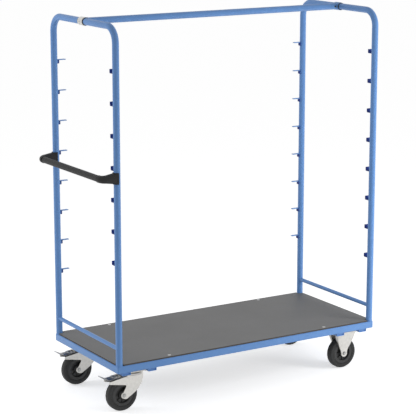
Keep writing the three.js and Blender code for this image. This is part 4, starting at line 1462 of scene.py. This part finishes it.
class TROLLEY_OT_fixed_casters(Operator):
    """Plates, flanged forks and axles of the fixed casters"""

    bl_idname = "trolley.fixed_casters"
    bl_label = "Fixed casters"

    def execute(self, context):
        caster = settings("caster")
        ring = ((9.5, -0.3), (14, -0.3), (13, 0.7), (10.5, 0.7))
        for corner in FIXED:
            axle = middle(f"{corner}_tyre")
            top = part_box(f"{corner}_fork")[1].z
            under, boss = top - caster.plate_thickness, caster.boss_radius
            shapes = plate_shapes(axle.x, axle.y, under, top)
            tip = arc((axle.x, axle.z), boss, 0, -180, 24)
            outline = [(axle.x + boss, axle.z + 4 * MM), *tip, (axle.x - boss, axle.z + 4 * MM)]
            for side in SIDES:
                shapes += [
                    fixed_leg(axle, side, under + 1 * MM), *cheek(outline, 0.9 * MM, ring, 0.5, axle, side),
                ]
            piece(f"fork_{corner}", "trolley", "zinc", [f"{corner}_fork"], ("bright_zinc_plate", shapes))
            piece(
                f"axle_{corner}", "trolley", "zinc", [f"{corner}_axle"],
                ("bolt_zinc_plate", axle_shapes(middle(f"{corner}_axle"))),
            )
        return {"FINISHED"}


# Stage


def seen_rays(tree):
    """One for rays that come from the camera, from a reflection or through a clear thing, else zero."""
    path = add_node(tree, "ShaderNodeLightPath")
    seen = path.outputs["Is Camera Ray"]
    for kind in ("Is Glossy Ray", "Is Transmission Ray"):
        seen = add_node(
            tree, "ShaderNodeMath", [(0, seen), (1, path.outputs[kind])], operation="ADD", use_clamp=True,
        ).outputs[0]
    return seen


def paper(colour, lift):
    """White studio paper that keeps its shadows and shows as white."""
    # Matt paper: its own glow is seen by the camera and in reflections only, so it adds no light.
    material = bpy.data.materials.new("studio_paper")
    material.use_nodes = True
    tree = material.node_tree
    tree.nodes.clear()
    matt = add_node(tree, "ShaderNodeBsdfDiffuse", [("Color", opaque(colour))])
    strength = add_node(tree, "ShaderNodeMath", [(0, seen_rays(tree)), (1, lift)], operation="MULTIPLY")
    glow = add_node(tree, "ShaderNodeEmission", [("Strength", strength.outputs[0])])
    both = add_node(tree, "ShaderNodeAddShader", [(0, matt.outputs[0]), (1, glow.outputs[0])])
    add_node(tree, "ShaderNodeOutputMaterial", [("Surface", both.outputs[0])])
    return material


def lamp(name, place, aim, size, watts):
    """A large soft lamp that looks at a point and stays out of sight."""
    light = bpy.data.lights.new(name, "AREA")
    light.shape = "RECTANGLE"
    light.size, light.size_y = size
    light.energy = watts
    made = bpy.data.objects.new(name, light)
    made.location = place
    made.rotation_euler = (Vector(aim) - Vector(place)).to_track_quat("-Z", "Y").to_euler()
    made.visible_camera = False
    made.visible_glossy = False
    bpy.context.scene.collection.objects.link(made)


class TROLLEY_OT_stage(Operator):
    """Floor, world, lamps and camera"""

    bl_idname = "trolley.stage"
    bl_label = "Stage"

    def execute(self, context):
        scene, stage = context.scene, settings("stage")
        mesh = bpy.data.meshes.new("floor")
        reach = 60
        mesh.from_pydata([Vector((x * reach, y * reach, 0)) for x, y in ROUND], [], [(0, 1, 2, 3)])
        mesh.materials.append(paper(stage.floor, stage.floor_lift))
        floor = bpy.data.objects.new("floor", mesh)
        scene.collection.objects.link(floor)

        world = bpy.data.worlds.new("studio")
        scene.world = world
        world.use_nodes = True
        tree = world.node_tree
        tree.nodes.clear()
        soft, white = [
            add_node(tree, "ShaderNodeBackground", [("Color", (1, 1, 1, 1)), ("Strength", strength)])
            for strength in (stage.world_strength, 1)
        ]
        mixed = add_node(tree, "ShaderNodeMixShader", [
            (0, seen_rays(tree)), (1, soft.outputs[0]), (2, white.outputs[0]),
        ])
        add_node(tree, "ShaderNodeOutputWorld", [("Surface", mixed.outputs[0])])

        lamp("key_lamp", (2.1, -2.0, 1.2), (0.6, 0, 1.0), (0.8, 2.4), stage.key_strength)
        lamp("fill_lamp", (-3.0, 1.6, 1.7), (-0.7, 0, 0.8), (1.2, 1.6), stage.fill_strength)

        data = bpy.data.cameras.new("camera")
        data.lens, data.sensor_width = stage.lens, 36
        data.clip_start, data.clip_end = 0.1, 200
        camera = bpy.data.objects.new("camera", data)
        camera.location = stage.camera_place
        camera.rotation_euler = (math.pi / 2 - stage.camera_dip, 0, -stage.camera_turn)
        scene.collection.objects.link(camera)
        scene.camera = camera
        scene.view_settings.view_transform = "Standard"
        return {"FINISHED"}


OPERATORS = (
    TROLLEY_OT_stage, TROLLEY_OT_end_frames, TROLLEY_OT_cross_rails, TROLLEY_OT_deck_rails,
    TROLLEY_OT_caster_beams, TROLLEY_OT_deck_board, TROLLEY_OT_tie_tube, TROLLEY_OT_tie_clamps,
    TROLLEY_OT_push_handle, TROLLEY_OT_wheels, TROLLEY_OT_swivel_casters, TROLLEY_OT_brakes,
    TROLLEY_OT_fixed_casters,
)


class TROLLEY_PT_sidebar(Panel):
    """Lists the trolley's pieces and their sizes"""

    bl_idname = "TROLLEY_PT_sidebar"
    bl_label = "Shelf trolley"
    bl_space_type = "VIEW_3D"
    bl_region_type = "UI"
    bl_category = "Trolley"

    def draw(self, context):
        layout = self.layout
        for operator in OPERATORS:
            layout.operator(operator.bl_idname)
        for name, group in SETTINGS.items():
            box = layout.box()
            box.label(text=name.replace("_", " "))
            for setting in group.__annotations__:
                box.prop(getattr(context.scene, name), setting)


def register():
    """Registers the settings, the operators and the panel."""
    for name, group in SETTINGS.items():
        bpy.utils.register_class(group)
        setattr(bpy.types.Scene, name, PointerProperty(type=group))
    for operator in OPERATORS:
        bpy.utils.register_class(operator)
    bpy.utils.register_class(TROLLEY_PT_sidebar)


def unregister():
    """Takes back what register made."""
    bpy.utils.unregister_class(TROLLEY_PT_sidebar)
    for operator in reversed(OPERATORS):
        bpy.utils.unregister_class(operator)
    for name, group in reversed(SETTINGS.items()):
        delattr(bpy.types.Scene, name)
        bpy.utils.unregister_class(group)


def main():
    """Builds the whole trolley on its stage."""
    register()
    for operator in OPERATORS:
        group, name = operator.bl_idname.split(".")
        getattr(getattr(bpy.ops, group), name)()


if __name__ == "__main__":
    main()
